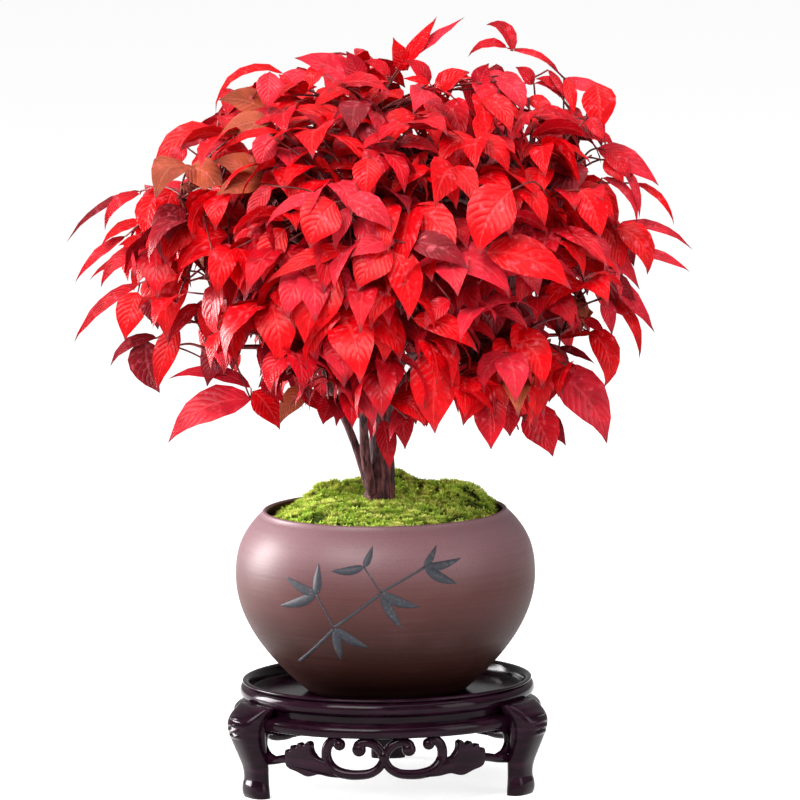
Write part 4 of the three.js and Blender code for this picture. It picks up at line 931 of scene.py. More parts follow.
def seeded_random(seed):
    """The same rule for chance numbers as in the part's source."""
    mask = 0xFFFFFFFF
    state = seed & mask

    def draw():
        nonlocal state
        state = (state + 0x6D2B79F5) & mask
        mixed = ((state ^ (state >> 15)) * (state | 1)) & mask
        mixed ^= (mixed + (((mixed ^ (mixed >> 7)) * (mixed | 61)) & mask)) & mask
        return ((mixed ^ (mixed >> 14)) & mask) / 4294967296

    return draw


# Stand

def bead(radius, low, high, bulge, count=8):
    """Places of a round moulding between two heights."""
    turns = [math.pi * i / count for i in range(count + 1)]
    middle = (low + high) / 2
    return [(radius + bulge * math.sin(t), middle - (high - low) / 2 * math.cos(t)) for t in turns]


def tray_profile():
    """Radius and height from the underside's middle, over the apron and rim, to the top's middle."""
    return [
        (0, TRAY_FLOOR_BOTTOM),
        (APRON_INNER_RADIUS - 10, TRAY_FLOOR_BOTTOM),
        (APRON_INNER_RADIUS, APRON_BOTTOM + 0.6),
        *bead(APRON_INNER_RADIUS + 2, APRON_BOTTOM, APRON_BOTTOM + 0.1, 0.1, 2),
        (APRON_RADIUS - 5, APRON_BOTTOM),
        *bead(APRON_RADIUS - 2.6, APRON_BOTTOM + 0.3, APRON_TOP - 1.4, 2.8),
        (APRON_RADIUS - 5, APRON_TOP - 0.8),
        (GROOVE_RADIUS, APRON_TOP - 0.2),
        (GROOVE_RADIUS, APRON_TOP + 3.8),
        *bead(TRAY_RIM_RADIUS - 2.4, APRON_TOP + 4.4, TRAY_RIM_TOP - 2.6, 3.9),
        (TRAY_RIM_RADIUS - 1.4, TRAY_RIM_TOP - 2.2),
        *bead(TRAY_RIM_RADIUS - 1.2, TRAY_RIM_TOP - 2, TRAY_RIM_TOP - 0.3, 0.9, 5),
        (TRAY_RIM_RADIUS - 2.2, TRAY_RIM_TOP),
        (TRAY_WELL_RADIUS + 1.2, TRAY_RIM_TOP - 0.6),
        (TRAY_WELL_RADIUS, TRAY_RIM_TOP - 2),
        (TRAY_WELL_RADIUS - 0.6, TRAY_FLOOR_TOP + 1.6),
        (TRAY_WELL_RADIUS - 3, TRAY_FLOOR_TOP),
        *bead(TRAY_WELL_RADIUS - 12, TRAY_FLOOR_TOP + 0.01, TRAY_FLOOR_TOP + 0.02, 0.1, 2),
        (0, TRAY_FLOOR_TOP),
    ]


def curved_table(table, at):
    """A smooth value from (key, value) pairs."""
    keys = [key for key, _ in table]
    i = min(max(np.searchsorted(keys, at) - 1, 0), len(table) - 2)
    low, high = table[i], table[i + 1]
    before = table[max(i - 1, 0)]
    after = table[min(i + 2, len(table) - 1)]
    span = high[0] - low[0]
    share = (at - low[0]) / span
    slope_low = (high[1] - before[1]) / (high[0] - before[0]) * span
    slope_high = (after[1] - low[1]) / (after[0] - low[0]) * span
    cubic = 2 * share ** 3 - 3 * share ** 2
    return (low[1] * (cubic + 1) - high[1] * cubic + slope_low * (share ** 3 - 2 * share ** 2 + share)
            + slope_high * (share ** 3 - share ** 2))


def at_stand_angle(degrees, radius, height, sideways):
    """A place by its angle round the stand, counted from the front."""
    turn = math.radians(degrees)
    return np.array((
        sideways * math.cos(turn) + radius * math.sin(turn),
        sideways * math.sin(turn) - radius * math.cos(turn),
        height,
    ))


def leg_ridge(height, sideways):
    """The raised knuckles across the knee."""
    if not RIDGE_LOW < height < RIDGE_LOW + RIDGE_COUNT * RIDGE_PITCH:
        return 0.0
    wave = math.sin(math.pi * (height - RIDGE_LOW) / RIDGE_PITCH) ** 2
    edge = max(0.0, 1 - (abs(sideways) / RIDGE_HALF_WIDTH) ** 4)
    return RIDGE_DEPTH * wave * edge


def build_leg(degrees):
    def place(around, share, radial):
        height = share * LEG_TOP
        outer = curved_table(LEG_OUTER, height)
        inner = curved_table(LEG_INNER, height)
        half = curved_table(LEG_WIDTHS, height) / 2
        power = 2 / LEG_SQUARENESS
        across = math.copysign(abs(math.cos(around)) ** power, math.cos(around)) * radial
        deep = math.copysign(abs(math.sin(around)) ** power, math.sin(around)) * radial
        sideways = half * across
        radius = (outer + inner) / 2 + (outer - inner) / 2 * deep
        if deep > 0.5:
            radius += leg_ridge(height, sideways)
        return at_stand_angle(degrees, radius, height, sideways)

    piece = levelled_cylinder(LEG_SIDES, LEG_LEVELS, place)
    clean_normals(piece)
    smooth(piece, 50)
    return piece


def clean_normals(piece):
    select_only(piece)
    bpy.ops.object.mode_set(mode="EDIT")
    bpy.ops.mesh.select_all(action="SELECT")
    bpy.ops.mesh.normals_make_consistent(inside=False)
    bpy.ops.object.mode_set(mode="OBJECT")


def fret_place(degrees, along, height, outwards=0.0):
    """A place on the fretwork, by its distance along the stand's curve."""
    turn = math.degrees(along / FRET_RADIUS)
    return at_stand_angle(degrees + turn, FRET_RADIUS + outwards, height, 0.0)


def fret_rod(degrees, side, points, radii):
    """A bar of the carving, with its radii at the root, middle and tip."""
    line = smooth_line(points, 9)
    shares = np.linspace(0, 1, len(line))
    places = [fret_place(degrees, side * along, height) for along, height in line]
    return rod(places, np.interp(shares, (0, 0.5, 1), radii))


def fret_plate(degrees, side, outline, depth, bevel):
    """A flat carving bent round the stand."""
    piece = plate([(side * along, height) for along, height in outline], depth, bevel)
    places = get_places(piece)
    put_places(piece, [fret_place(degrees, x, z, -y) for x, y, z in places])
    clean_normals(piece)
    smooth(piece, 40)
    return piece


def fret_ball(degrees, side, place, sizes):
    """A round end or knot of the carving, with its half sizes sideways, in depth and in height."""
    deselect_all()
    bpy.ops.mesh.primitive_uv_sphere_add(segments=20, ring_count=12, radius=1.0)
    piece = bpy.context.object
    along, height = place
    wide, deep, tall = sizes
    put_places(piece, [fret_place(degrees, side * along + x * wide, height + z * tall, y * deep)
                       for x, y, z in get_places(piece) * MM])
    clean_normals(piece)
    return piece


def build_fretwork(degrees):
    pieces = [fret_ball(degrees, 1, KNOT_PLACE, KNOT_SIZES)]
    for side in (-1, 1):
        pieces.append(fret_rod(degrees, side, SCROLL, SCROLL_RADII))
        pieces.append(fret_rod(degrees, side, CURL, CURL_RADII))
        pieces.append(fret_ball(degrees, side, SCROLL[0], SCROLL_END_SIZES))
        pieces.append(fret_ball(degrees, side, CURL[-1], CURL_END_SIZES))
        pieces.append(fret_rod(degrees, side, RAIL, RAIL_RADII))
        pieces.append(fret_rod(degrees, side, END_CURL, END_CURL_RADII))
        leaf = smooth_line(LEAF_CARVING + LEAF_CARVING[:1], 3)[:-1]
        pieces.append(fret_plate(degrees, side, leaf, CARVING_DEPTH, CARVING_BEVEL))
    return join_pieces(pieces)


def build_stand(settings):
    material = stand_finish(settings)
    tray = turned(tray_profile())
    smooth(tray, 40)
    finish_piece(tray, "visual_stand_tray", material, ["stand_tray"])
    for number, degrees in enumerate(LEG_ANGLES, 1):
        finish_piece(build_leg(degrees), f"visual_stand_leg_{number}", material,
                     [f"stand_leg_{number}"])
    for number, degrees in enumerate(FRET_ANGLES, 1):
        piece = build_fretwork(degrees)
        smooth(piece, 40)
        finish_piece(piece, f"visual_stand_fretwork_{number}", material,
                     [f"stand_fretwork_{number}"])


# Pot

def pot_radius(z):
    if z < POT_BELLY_Z:
        fall = (POT_BELLY_Z - z) / (POT_BELLY_Z - POT_FOOT_Z)
        return POT_BELLY_RADIUS - (POT_BELLY_RADIUS - POT_FOOT_RADIUS) * fall ** POT_LOWER_POWER
    rise = (z - POT_BELLY_Z) / (POT_RIM_Z - POT_BELLY_Z)
    return POT_BELLY_RADIUS - (POT_BELLY_RADIUS - POT_RIM_RADIUS) * rise ** POT_UPPER_POWER


def pot_profile():
    """Radius and height from the foot's middle, up the outside, over the lip and down inside."""
    floor = POT_FOOT_Z + POT_FLOOR
    outer_levels = np.linspace(POT_FOOT_Z + 1.2, POT_RIM_Z - POT_EDGE, POT_RINGS)
    inner_levels = np.linspace(POT_RIM_Z - 5, floor, POT_INNER_RINGS)
    outside = [(pot_radius(z), z) for z in outer_levels]
    inside = [(pot_radius(z) - POT_WALL, z) for z in inner_levels]
    lip_outer = pot_radius(POT_RIM_Z - POT_EDGE)
    lip = [
        (lip_outer - 0.1, POT_RIM_Z - 0.9),
        (lip_outer - 0.7, POT_RIM_Z - 0.25),
        (lip_outer - POT_EDGE, POT_RIM_Z),
        (lip_outer - POT_LIP + 0.3, POT_RIM_Z - 0.3),
        (lip_outer - POT_LIP - 0.2, POT_RIM_Z - 1.2),
    ]
    return [(0, POT_FOOT_Z), (POT_FOOT_RADIUS - 2, POT_FOOT_Z), *outside, *lip, *inside, (0, floor)]


def on_pot(x, z):
    """The place on the pot's front, lifted for the paint."""
    radius = pot_radius(z) + PAINT_LIFT
    return (x, -math.sqrt(radius * radius - x * x), z)


def brush_stroke(root, tip, width, pointed):
    """Places and faces of one painted stroke on the pot's belly: a pointed leaf or a blunt stalk."""
    start = np.array(root, float)
    way = np.array(tip, float) - start
    length = np.linalg.norm(way)
    across = np.array((-way[1], way[0])) / length
    places = []
    for i in range(STROKE_STEPS + 1):
        share = i / STROKE_STEPS
        sag = STROKE_SAG * length * math.sin(math.pi * share) if pointed else 0.0
        body = math.sin(math.pi * share ** 0.7) ** 0.8 if pointed else 0.8 + 0.2 * abs(2 * share - 1) ** 3
        half = width / 2 * max(0.04, body)
        middle = start + way * share - np.array((0.0, sag))
        places.extend(on_pot(*(middle + across * half * hand)) for hand in (-1, 0, 1))
    faces = []
    for i in range(STROKE_STEPS):
        for column in (0, 1):
            low = 3 * i + column
            faces.append((low, low + 3, low + 4, low + 1))
    return places, faces


def add_to(heap, addition):
    """Puts the places and faces of one small thing into a heap of many."""
    places, faces = heap
    new_places, new_faces = addition
    faces.extend(tuple(corner + len(places) for corner in face) for face in new_faces)
    places.extend(new_places)


def build_sprig(settings):
    heap = ([], [])
    for strokes, pointed in ((SPRIG_STALKS, False), (SPRIG_LEAVES, True)):
        for root, tip, width in strokes:
            add_to(heap, brush_stroke(root, tip, width, pointed))
    piece = mesh_from("sprig", *heap)
    clean_normals(piece)
    solidify = piece.modifiers.new("Paint thickness", "SOLIDIFY")
    solidify.thickness = PAINT_THICKNESS * MM
    solidify.offset = 0.0
    bpy.ops.object.modifier_apply(modifier=solidify.name)
    finish_piece(piece, "painted_bamboo_sprig", paint_finish(settings))


def build_pot(settings):
    piece = turned(pot_profile())
    smooth(piece, 50)
    finish_piece(piece, "visual_pot", clay_finish(settings), ["pot"])
    build_sprig(settings)


# Moss

def smoothstep(value, low, high):
    share = min(1.0, max(0.0, (value - low) / (high - low)))
    return share * share * (3 - 2 * share)


def moss_height(x, y):
    """The mound's height, with cushions parted by gaps, level at the trunk's foot."""
    away = math.hypot(x, y)
    dome = GROUND_Z - (GROUND_Z - MOSS_EDGE_Z) * (away / MOSS_RADIUS) ** MOSS_DOME_POWER
    lumps = sum(height * math.exp(-((x - lump_x) ** 2 + (y - lump_y) ** 2) / width ** 2)
                for lump_x, lump_y, height, width in MOSS_LUMPS)
    foot_x, foot_y, _ = TRUNK_POINTS[0]
    free = smoothstep(math.hypot(x - foot_x, y - foot_y), FOOT_LEVEL_RADIUS, FOOT_LEVEL_RADIUS + FOOT_BLEND)
    cushioned = FOOT_CUSHION_SHARE + (1 - FOOT_CUSHION_SHARE) * free
    return GROUND_Z + (dome + lumps - GROUND_Z) * free + cushion(x, y) * cushioned


def cushion(x, y):
    """How much higher or lower the moss is there, with a gap round each cushion."""
    distances, _ = noise.voronoi(Vector((x / CUSHION_SIZE, y / CUSHION_SIZE, 3.7)))
    gap = distances[1] - distances[0]
    ripple = noise.noise(Vector((x / CUSHION_RIPPLE_SIZE, y / CUSHION_RIPPLE_SIZE, 1.3)))
    return CUSHION_HEIGHT * (math.sqrt(min(1.0, gap / CUSHION_SEAM)) - 0.7) + CUSHION_RIPPLE * ripple


def build_moss_bed():
    bottom = POT_RIM_Z - MOSS_WALL_DEPTH
    shoulder = POT_RIM_Z - MOSS_SHOULDER_DEPTH
    profile = [(0, bottom), (MOSS_OUTER_RADIUS - 2, bottom), (MOSS_OUTER_RADIUS, shoulder)]
    profile += [(radius, GROUND_Z) for radius in np.linspace(MOSS_OUTER_RADIUS, 0.8, MOSS_RINGS)]
    piece = turned(profile + [(0, GROUND_Z)])
    places = get_places(piece)
    on_top = np.abs(places[:, 2] - GROUND_Z) < 0.01
    for i in np.flatnonzero(on_top):
        places[i, 2] = moss_height(places[i, 0], places[i, 1]) - BED_SUNK
    put_places(piece, places)
    smooth(piece)
    finish_piece(piece, "moss_bed", soil_finish(), ["moss_mound"])


def tuft_blades(center, lean, size, rng):
    """One tuft: a star of short blades, each a folded leaf of two faces."""
    places = []
    faces = []
    start = rng.uniform(0, math.tau)
    for blade in range(TUFT_BLADES):
        turn = start + math.tau * blade / TUFT_BLADES + rng.uniform(-BLADE_TURN, BLADE_TURN)
        rise = rng.uniform(*BLADE_RISES)
        out = np.array((math.cos(turn), math.sin(turn), rise)) + lean
        out /= np.linalg.norm(out)
        side = np.array((-math.sin(turn), math.cos(turn), 0.0)) * size * BLADE_WIDTH
        middle = center + out * size * 0.5 + UP * size * 0.1
        tip = center + out * size
        base = len(places)
        places.extend((center, middle - side, tip, middle + side))
        faces.extend(((base, base + 1, base + 2), (base, base + 2, base + 3)))
    return places, faces


def build_moss(settings):
    """The bed and its tufts, which stay off the gaps between the cushions."""
    build_moss_bed()
    rng = np.random.default_rng(MOSS_SEED)
    heaps = {"bright": ([], []), "green": ([], []), "dull": ([], [])}
    for _ in range(settings.tufts):
        away = MOSS_OUTER_RADIUS * math.sqrt(rng.uniform(0, 1))
        turn = rng.uniform(0, math.tau)
        x = away * math.cos(turn)
        y = away * math.sin(turn)
        if cushion(x, y) < MOSS_GAP:
            continue
        patch = noise.noise(Vector((x / PATCH_SIZE, y / PATCH_SIZE, 8.1)))
        patch = patch + rng.uniform(-PATCH_CHANCE, PATCH_CHANCE) + CUSHION_BRIGHTNESS * cushion(x, y)
        kind = "bright" if patch > BRIGHT_LIMIT else "green"
        if rng.uniform(0, 1) < DULL_SHARE:
            kind = "dull"
        center = np.array((x, y, moss_height(x, y) - TUFT_SUNK))
        lean = np.array((x, y, 0.0)) / MOSS_OUTER_RADIUS * TUFT_LEAN
        size = settings.tuft_size / MM * rng.uniform(*TUFT_SIZES)
        add_to(heaps[kind], tuft_blades(center, lean, size, rng))
    for kind, (places, faces) in heaps.items():
        uvs = np.tile(np.array(((0.5, 0.0), (0.0, 0.5), (0.5, 1.0), (1.0, 0.5))), (len(places) // 4, 1))
        name = f"moss_tufts_{kind}"
        finish = moss_finish(f"Moss {kind}", tuple(getattr(settings, kind)))
        finish_piece(mesh_from(name, places, faces, uvs), name, finish, ["moss_mound"])


# Trunk, stems and boughs

def polar(angle, radius, z):
    """A place by its angle round the trunk, from the right towards the back."""
    return np.array((radius * math.cos(angle), radius * math.sin(angle), z))


def limb_paths():
    """The source's trunk, stems and boughs by name."""
    paths = {
        "trunk": Path(TRUNK_POINTS, TRUNK_RADII),
        "stem_left": Path(STEM_LEFT_POINTS, STEM_LEFT_RADII),
        "stem_middle": Path(STEM_MIDDLE_POINTS, STEM_MIDDLE_RADII),
    }
    for ring, supports in zip(RINGS, (UPPER_SUPPORTS, LOWER_SUPPORTS)):
        for i in range(ring["count"]):
            angle = math.radians(ring["turn"] + 360 * i / ring["count"])
            name, share = supports[i]
            start = paths[name].at(share)
            tip = polar(angle, ring["radius"] * ring["reach"], ring["height"] - ring["drop"])
            middle = start + (tip - start) * BOUGH_BEND_OUT
            middle[2] = start[2] + (tip[2] - start[2]) * BOUGH_BEND_UP
            root = min(paths[name].radius(share) * BOUGH_ROOT_SHARE, BOUGH_ROOT_RADIUS)
            radii = (root, root * 0.8, BOUGH_TIP_RADIUS)
            paths[f"bough_{ring['name']}_{i + 1}"] = Path((start, middle, tip), radii)
    return paths


def bark_relief(place, around, radius):
    """Long furrows and small knots, as a change of radius."""
    ring = polar(around, FURROWS_AROUND, place[2] / FURROW_LENGTH)
    furrow = noise.fractal(Vector(ring), 0.9, 2.1, 4)
    knot = noise.noise(Vector((place[0] / 7, place[1] / 7, place[2] / 9)))
    return radius * (FURROW_DEPTH * furrow + KNOT_DEPTH * max(0.0, knot))


def build_limb(path, cuts, flared=False):
    """A limb with the bark's relief, and root flares at its foot where it is flared."""
    def place(around, share, radial):
        center = path.at(share)
        side, upper = side_vectors(path.towards(share))
        radius = path.radius(share)
        if flared:
            rise = max(0.0, 1 - (share * path.length - TRUNK_SUNK) / FLARE_HEIGHT)
            radius *= 1 + min(1.0, rise) ** 2 * FLARE_DEPTH * (1 + math.cos(FLARE_LOBES * around))
        radius += bark_relief(center, around, radius)
        return center + (side * math.cos(around) + upper * math.sin(around)) * radius * radial

    piece = levelled_cylinder(*cuts, place)
    clean_normals(piece)
    smooth(piece)
    return piece


def build_limbs():
    bark = bark_finish()
    for name, path in limb_paths().items():
        if name == "trunk":
            piece = build_limb(path, TRUNK_CUTS, flared=True)
        elif name.startswith("stem"):
            piece = build_limb(path, STEM_CUTS)
        else:
            piece = build_limb(path, BOUGH_CUTS)
        finish_piece(piece, f"visual_{name}", bark, [name])


# Crown

def crown_radius(z):
    """Radius of the crown's dome and of the skirt below its waist."""
    if z > CROWN_WAIST_Z:
        rise = min(1.0, (z - CROWN_WAIST_Z) / (CROWN_TOP_Z - CROWN_WAIST_Z))
        return CROWN_RADIUS * (1 - rise ** CROWN_DOME_POWER) ** (1 / CROWN_DOME_POWER)
    fall = (CROWN_WAIST_Z - z) / (CROWN_WAIST_Z - CROWN_SKIRT_Z)
    return CROWN_RADIUS * (1 - CROWN_SKIRT_SHRINK * fall * fall)


def crown_floor(radius):
    """Height of the crown's hollow underside."""
    return CROWN_HOLLOW_Z - (CROWN_HOLLOW_Z - CROWN_SKIRT_Z) * min(1.0, radius / CROWN_RADIUS) ** 2


def inside_crown(place, spare):
    """Whether a place is inside the crown's rule, or outside it by less than the spare."""
    radius = math.hypot(place[0], place[1])
    return (crown_floor(radius) - spare < place[2] < CROWN_TOP_Z + spare
            and radius < crown_radius(place[2]) + spare)


def reach_along(direction):
    """How far the crown goes from its middle in a direction."""
    reach = 0.0
    while inside_crown(CROWN_MIDDLE + direction * (reach + REACH_STEP), 0):
        reach += REACH_STEP
    return reach


def facing_up(place):
    """From 0 on the crown's sides to 1 on its top."""
    step = 4
    narrowing = max(0.0, crown_radius(place[2] - step) - crown_radius(place[2] + step))
    return math.atan(narrowing / (2 * step)) / (math.pi / 2)


class Viewfinder:
    """Turns places in millimetres into the photograph's pixels, and back at a known distance."""

    def __init__(self, settings):
        lift = settings.elevation
        forward = np.array((0.0, math.cos(lift), -math.sin(lift)))
        level = np.array((1.0, 0.0, 0.0))
        above = np.cross(level, forward)
        turn = settings.roll
        self.forward = forward
        self.right = level * math.cos(turn) + above * math.sin(turn)
        self.above = above * math.cos(turn) - level * math.sin(turn)
        self.eye = np.array(VIEW_MIDDLE) - forward * settings.distance / MM
        self.focal = PHOTO_SIZE * settings.distance / settings.frame_width

    def pixel(self, place):
        way = place - self.eye
        depth = way @ self.forward
        return (PHOTO_SIZE / 2 + self.focal * (way @ self.right) / depth,
                PHOTO_SIZE / 2 - self.focal * (way @ self.above) / depth)

    def place(self, pixel, towards):
        """The place seen at a pixel, that far from the trunk towards the viewer."""
        sideways = (pixel[0] - PHOTO_SIZE / 2) / self.focal
        downwards = (pixel[1] - PHOTO_SIZE / 2) / self.focal
        ray = self.forward + self.right * sideways - self.above * downwards
        return self.eye + ray * (-towards - self.eye[1]) / ray[1]


def inside_outline(pixel, outline):
    """Whether a pixel lies in an outline, by the even and odd rule."""
    x, y = pixel
    inside = False
    for (x1, y1), (x2, y2) in zip(outline, outline[1:] + outline[:1]):
        if (y1 > y) != (y2 > y) and x < x1 + (x2 - x1) * (y - y1) / (y2 - y1):
            inside = not inside
    return inside


def in_gap(pixel, clearance):
    return any(math.hypot(pixel[0] - x, pixel[1] - y) < radius + clearance for x, y, radius in PHOTO_GAPS)


def seen_in_crown(pixel, clearance=0.0):
    """Whether a pixel lies in the crown's edge and off its gaps."""
    return inside_outline(pixel, PHOTO_CROWN_EDGE) and not in_gap(pixel, clearance)


def bowed_twig(root, tip, sway, rise):
    """A curve whose middle is moved sideways and up by shares of its length."""
    bow = np.array((*sway, rise)) * np.linalg.norm(tip - root)
    return smooth_line((root, (root + tip) / 2 + bow, tip), 4)


class Crown:
    """Masses, twigs and leaves while they grow."""

    def __init__(self, settings, paths, viewfinder):
        self.viewfinder = viewfinder
        self.random = seeded_random(settings.seed)
        self.length = settings.leaf_length / MM
        self.width = settings.leaf_width
        self.twigs = []
        self.leaves = {}
        self.hubs = []
        self.masses = [self.mass_stem(np.array((0.0, 0.0, TOP_MASS_HEIGHT)), paths["trunk"], 0)]
        for ring in RINGS:
            for i in range(ring["count"]):
                angle = math.radians(ring["turn"] + 360 * i / ring["count"])
                centre = polar(angle, ring["radius"], ring["height"])
                bough = paths[f"bough_{ring['name']}_{i + 1}"]
                self.masses.append(self.mass_stem(centre, bough, MASS_OVERRUN))

    def mass_stem(self, centre, bough, overrun):
        """The stem that carries a mass, from its bough's tip through its middle."""
        root = bough.at(1.0) - bough.towards(1.0) * MASS_STEM_SUNK
        knee = root + (centre - root) * MASS_STEM_KNEE + UP * MASS_STEM_KNEE_RISE
        outwards = np.array((centre[0], centre[1], 0.0))
        if overrun:
            outwards /= np.linalg.norm(outwards)
        end = centre + outwards * overrun + UP * MASS_STEM_END_RISE
        line = smooth_line((root, knee, end), 8)
        self.twigs.append((line, *MASS_STEM_RADII))
        return {"centre": centre, "line": line}

    def nearest_line(self, place):
        distances = [np.linalg.norm(mass["centre"] - place) for mass in self.masses]
        return self.masses[int(np.argmin(distances))]["line"]

    def swing(self, size):
        """A chance number, as far below nought as above it."""
        return (self.random() - 0.5) * size

    def twig_to(self, tip, root_radius=TWIG_RADIUS):
        """A twig from the mass's stem, bowed upwards a little, or more where it would cross a gap."""
        line = self.nearest_line(tip)
        cost = np.linalg.norm(line - tip, axis=1) + np.maximum(0, line[:, 2] - tip[2]) * TWIG_CLIMB
        cost += np.array([self.random() * TWIG_CHANCE for _ in cost])
        sway = (self.swing(TWIG_SWAY), self.swing(TWIG_SWAY))
        roots = [line[int(choice) + 2] for choice in np.argsort(cost[2:])]
        bowed = (bowed_twig(root, tip, sway, rise) for rise in TWIG_RISES for root in roots)
        plain = bowed_twig(roots[0], tip, sway, TWIG_RISES[0])
        twig = next((twig for twig in bowed if self.stays_hidden(twig)), plain)
        self.twigs.append((twig, root_radius, TWIG_TIP_RADIUS))
        return twig

    def stays_hidden(self, twig):
        """Whether a twig crosses no gap, and only its last part leaves the crown's edge."""
        middles = (twig[1:] + twig[:-1]) / 2
        if any(in_gap(self.viewfinder.pixel(place), 1.0) for place in (*twig, *middles)):
            return False
        first_part = twig[:len(twig) * 3 // 4]
        return all(inside_crown(place, CROWN_SPARE) for place in first_part)

    def add_leaf(self, tint, leaf):
        self.leaves.setdefault(tint, []).append(leaf)

    def tint_for(self, place, share):
        """Each spray has one tint: the plant's dark maroon more often inside as painted shade, paler rose
        more often on top as painted sheen, and a few bronze ones high on the left.
        """
        high_left = place[0] < BRONZE_MOST_X and place[1] < BRONZE_MOST_Y and place[2] > BRONZE_LEAST_Z
        if self.random() < (BRONZE_SIDE_CHANCE if high_left else BRONZE_CHANCE):
            return "bronze"
        chance = self.random() + TOP_SHEEN_TINT_SHIFT * max(0.0, facing_up(place))
        if share < INNER_SHARE and chance < INNER_SHADE_MAROON_CHANCE:
            return "maroon"
        return next((tint for tint, limit in TINT_CHANCES if chance < limit), "maroon")

    def leaflet_fits(self, root, heading, lean, fall, length, spare):
        """Whether a leaflet stays in the crown and clear of the sky gaps."""
        belly = root + length * 0.5 * direction_of(heading, lean - fall / 4)
        end = belly + length * 0.46 * direction_of(heading, lean - fall * 0.75)
        places = (root, (root + belly) / 2, belly, (belly + end) / 2, end)
        return (all(seen_in_crown(self.viewfinder.pixel(place), clearance)
                    for place, clearance in zip(places, LEAFLET_CLEARANCES))
                and inside_crown(end, spare))

    def leaflet(self, tint, root, heading, pitch, droop, scale, spare=CROWN_SPARE):
        """Adds one leaflet, shortened where that makes it fit, and says whether it fits at all."""
        lean = math.radians(pitch)
        fall = math.radians(droop)
        for shrink in LEAFLET_SHRINKS:
            length = self.length * scale * shrink
            if self.leaflet_fits(root, heading, lean, fall, length, spare):
                break
        else:
            return False
        self.add_leaf(tint, {
            "root": root, "azimuth": heading, "pitch": lean, "droop": fall,
            "roll": math.radians(self.swing(LEAFLET_ROLL)), "twist": math.radians(self.swing(LEAFLET_TWIST)),
            "sweep": math.radians(self.swing(LEAFLET_SWEEP)), "length": length,
            "width": self.width * (LEAFLET_LEAST_WIDTH + LEAFLET_WIDTH_CHANCE * self.random()),
            "phase": self.random() * math.tau,
        })
        return True

    def spray(self, tip, pairs, share):
        """A twig with an end leaflet and pairs behind it. A twig that keeps no leaflet is left out."""
        if not seen_in_crown(self.viewfinder.pixel(tip)):
            return
        twig = self.twig_to(tip)
        tint = self.tint_for(tip, share)
        up = facing_up(tip)
        azimuth = math.atan2(tip[1], tip[0]) + math.radians(self.swing(SPRAY_TURN_SWING))
        pitch = SIDE_PITCH + (TOP_PITCH - SIDE_PITCH) * up + self.swing(SPRAY_PITCH_SWING)
        droop = SIDE_DROOP + (TOP_DROOP - SIDE_DROOP) * up + self.swing(SPRAY_DROOP_SWING)
        size = SPRAY_LEAST_SIZE + SPRAY_SIZE_CHANCE * self.random() ** 1.5
        size *= 1 - SPRAY_TOP_SHRINK * up
        leafy = self.leaflet(tint, tip, azimuth, pitch, droop, size * END_LEAFLET_SIZE)
        back = twig[-4] - twig[-1]
        reach = np.linalg.norm(back)
        back /= reach
        for pair in range(pairs):
            for side in (-1, 1):
                behind = PAIR_STAGGER + PAIR_STAGGER * side + pair * PAIR_SPACING
                root = tip + back * min(behind, reach * 2)
                turn = side * (FIRST_PAIR_TURN + NEXT_PAIR_TURN * pair) + self.swing(PAIR_TURN_SWING)
                heading = azimuth + math.radians(turn)
                scale = size * (FIRST_PAIR_SIZE - NEXT_PAIR_SHRINK * pair)
                scale *= PAIR_LEAST_SIZE + PAIR_SIZE_CHANCE * self.random()
                slope = pitch - PAIR_PITCH_DROP + self.swing(PAIR_PITCH_SWING)
                leafy = self.leaflet(tint, root, heading, slope, droop, scale) or leafy
        if not leafy:
            self.twigs.pop()

    def grow_layers(self):
        """Sprays on shells one inside the other, spread evenly by the golden turn."""
        for layer in LAYERS:
            for i in range(layer["count"]):
                up = 1 - (1 - layer["lowest"]) * (i + 0.5) / layer["count"]
                direction = polar(i * GOLDEN_TURN, math.sqrt(1 - up * up), up)
                level = math.hypot(direction[0], direction[1]) ** 4
                depth = layer["top_depth"] + (layer["side_depth"] - layer["top_depth"]) * level
                reach = reach_along(direction) * layer["share"] - depth - LAYER_SCATTER * self.random()
                self.spray(CROWN_MIDDLE + direction * reach, layer["pairs"], layer["share"])

    def leaf_between(self, tint, root, tip, width, droop, faced):
        """A leaf from a known root to a known tip, turned towards the viewer by that share."""
        way = tip - root
        distance = np.linalg.norm(way)
        azimuth = math.atan2(way[1], way[0])
        pitch = math.asin(way[2] / distance)
        droop = math.radians(droop)
        facing = UP * (1 - faced) - self.viewfinder.forward * faced
        aside = np.array((-math.sin(azimuth), math.cos(azimuth), 0.0))
        above = np.cross(way / distance, aside)
        self.add_leaf(tint, {
            "root": root, "azimuth": azimuth, "pitch": pitch + droop / 2, "droop": droop,
            "roll": math.atan2(-(facing @ aside), facing @ above), "twist": 0.0,
            "sweep": 0.0, "length": distance * droop / 2 / math.sin(droop / 2),
            "width": width, "phase": self.random() * math.tau,
        })

    def grow_far_tips(self):
        for turn, height, reach, slope in FAR_TIPS:
            angle = math.radians(turn)
            end = polar(angle, reach, height)
            way = direction_of(angle, math.radians(slope))
            root = end - way * FAR_LEAF_LENGTH
            self.twig_to(root)
            self.leaf_between("crimson", root, end, FAR_LEAF_WIDTH, FAR_LEAF_DROOP, FAR_LEAF_FACED)
            for side in (-1, 1):
                self.leaflet("crimson", root - way * FAR_PAIR_BEHIND, angle + side * FAR_PAIR_TURN,
                             slope + FAR_PAIR_LIFT, FAR_PAIR_DROOP, FAR_PAIR_SIZE, FAR_SPARE)

    def stalk_to(self, root):
        """A twig to a single leaf's root, or only a short stalk from a hub close by."""
        for hub in self.hubs:
            if np.linalg.norm(hub - root) < HUB_REACH:
                self.twigs.append((np.array((hub, (hub + root) / 2, root)), *STALK_RADII))
                return
        self.hubs.append(root)
        self.twig_to(root, HUB_TWIG_RADIUS)

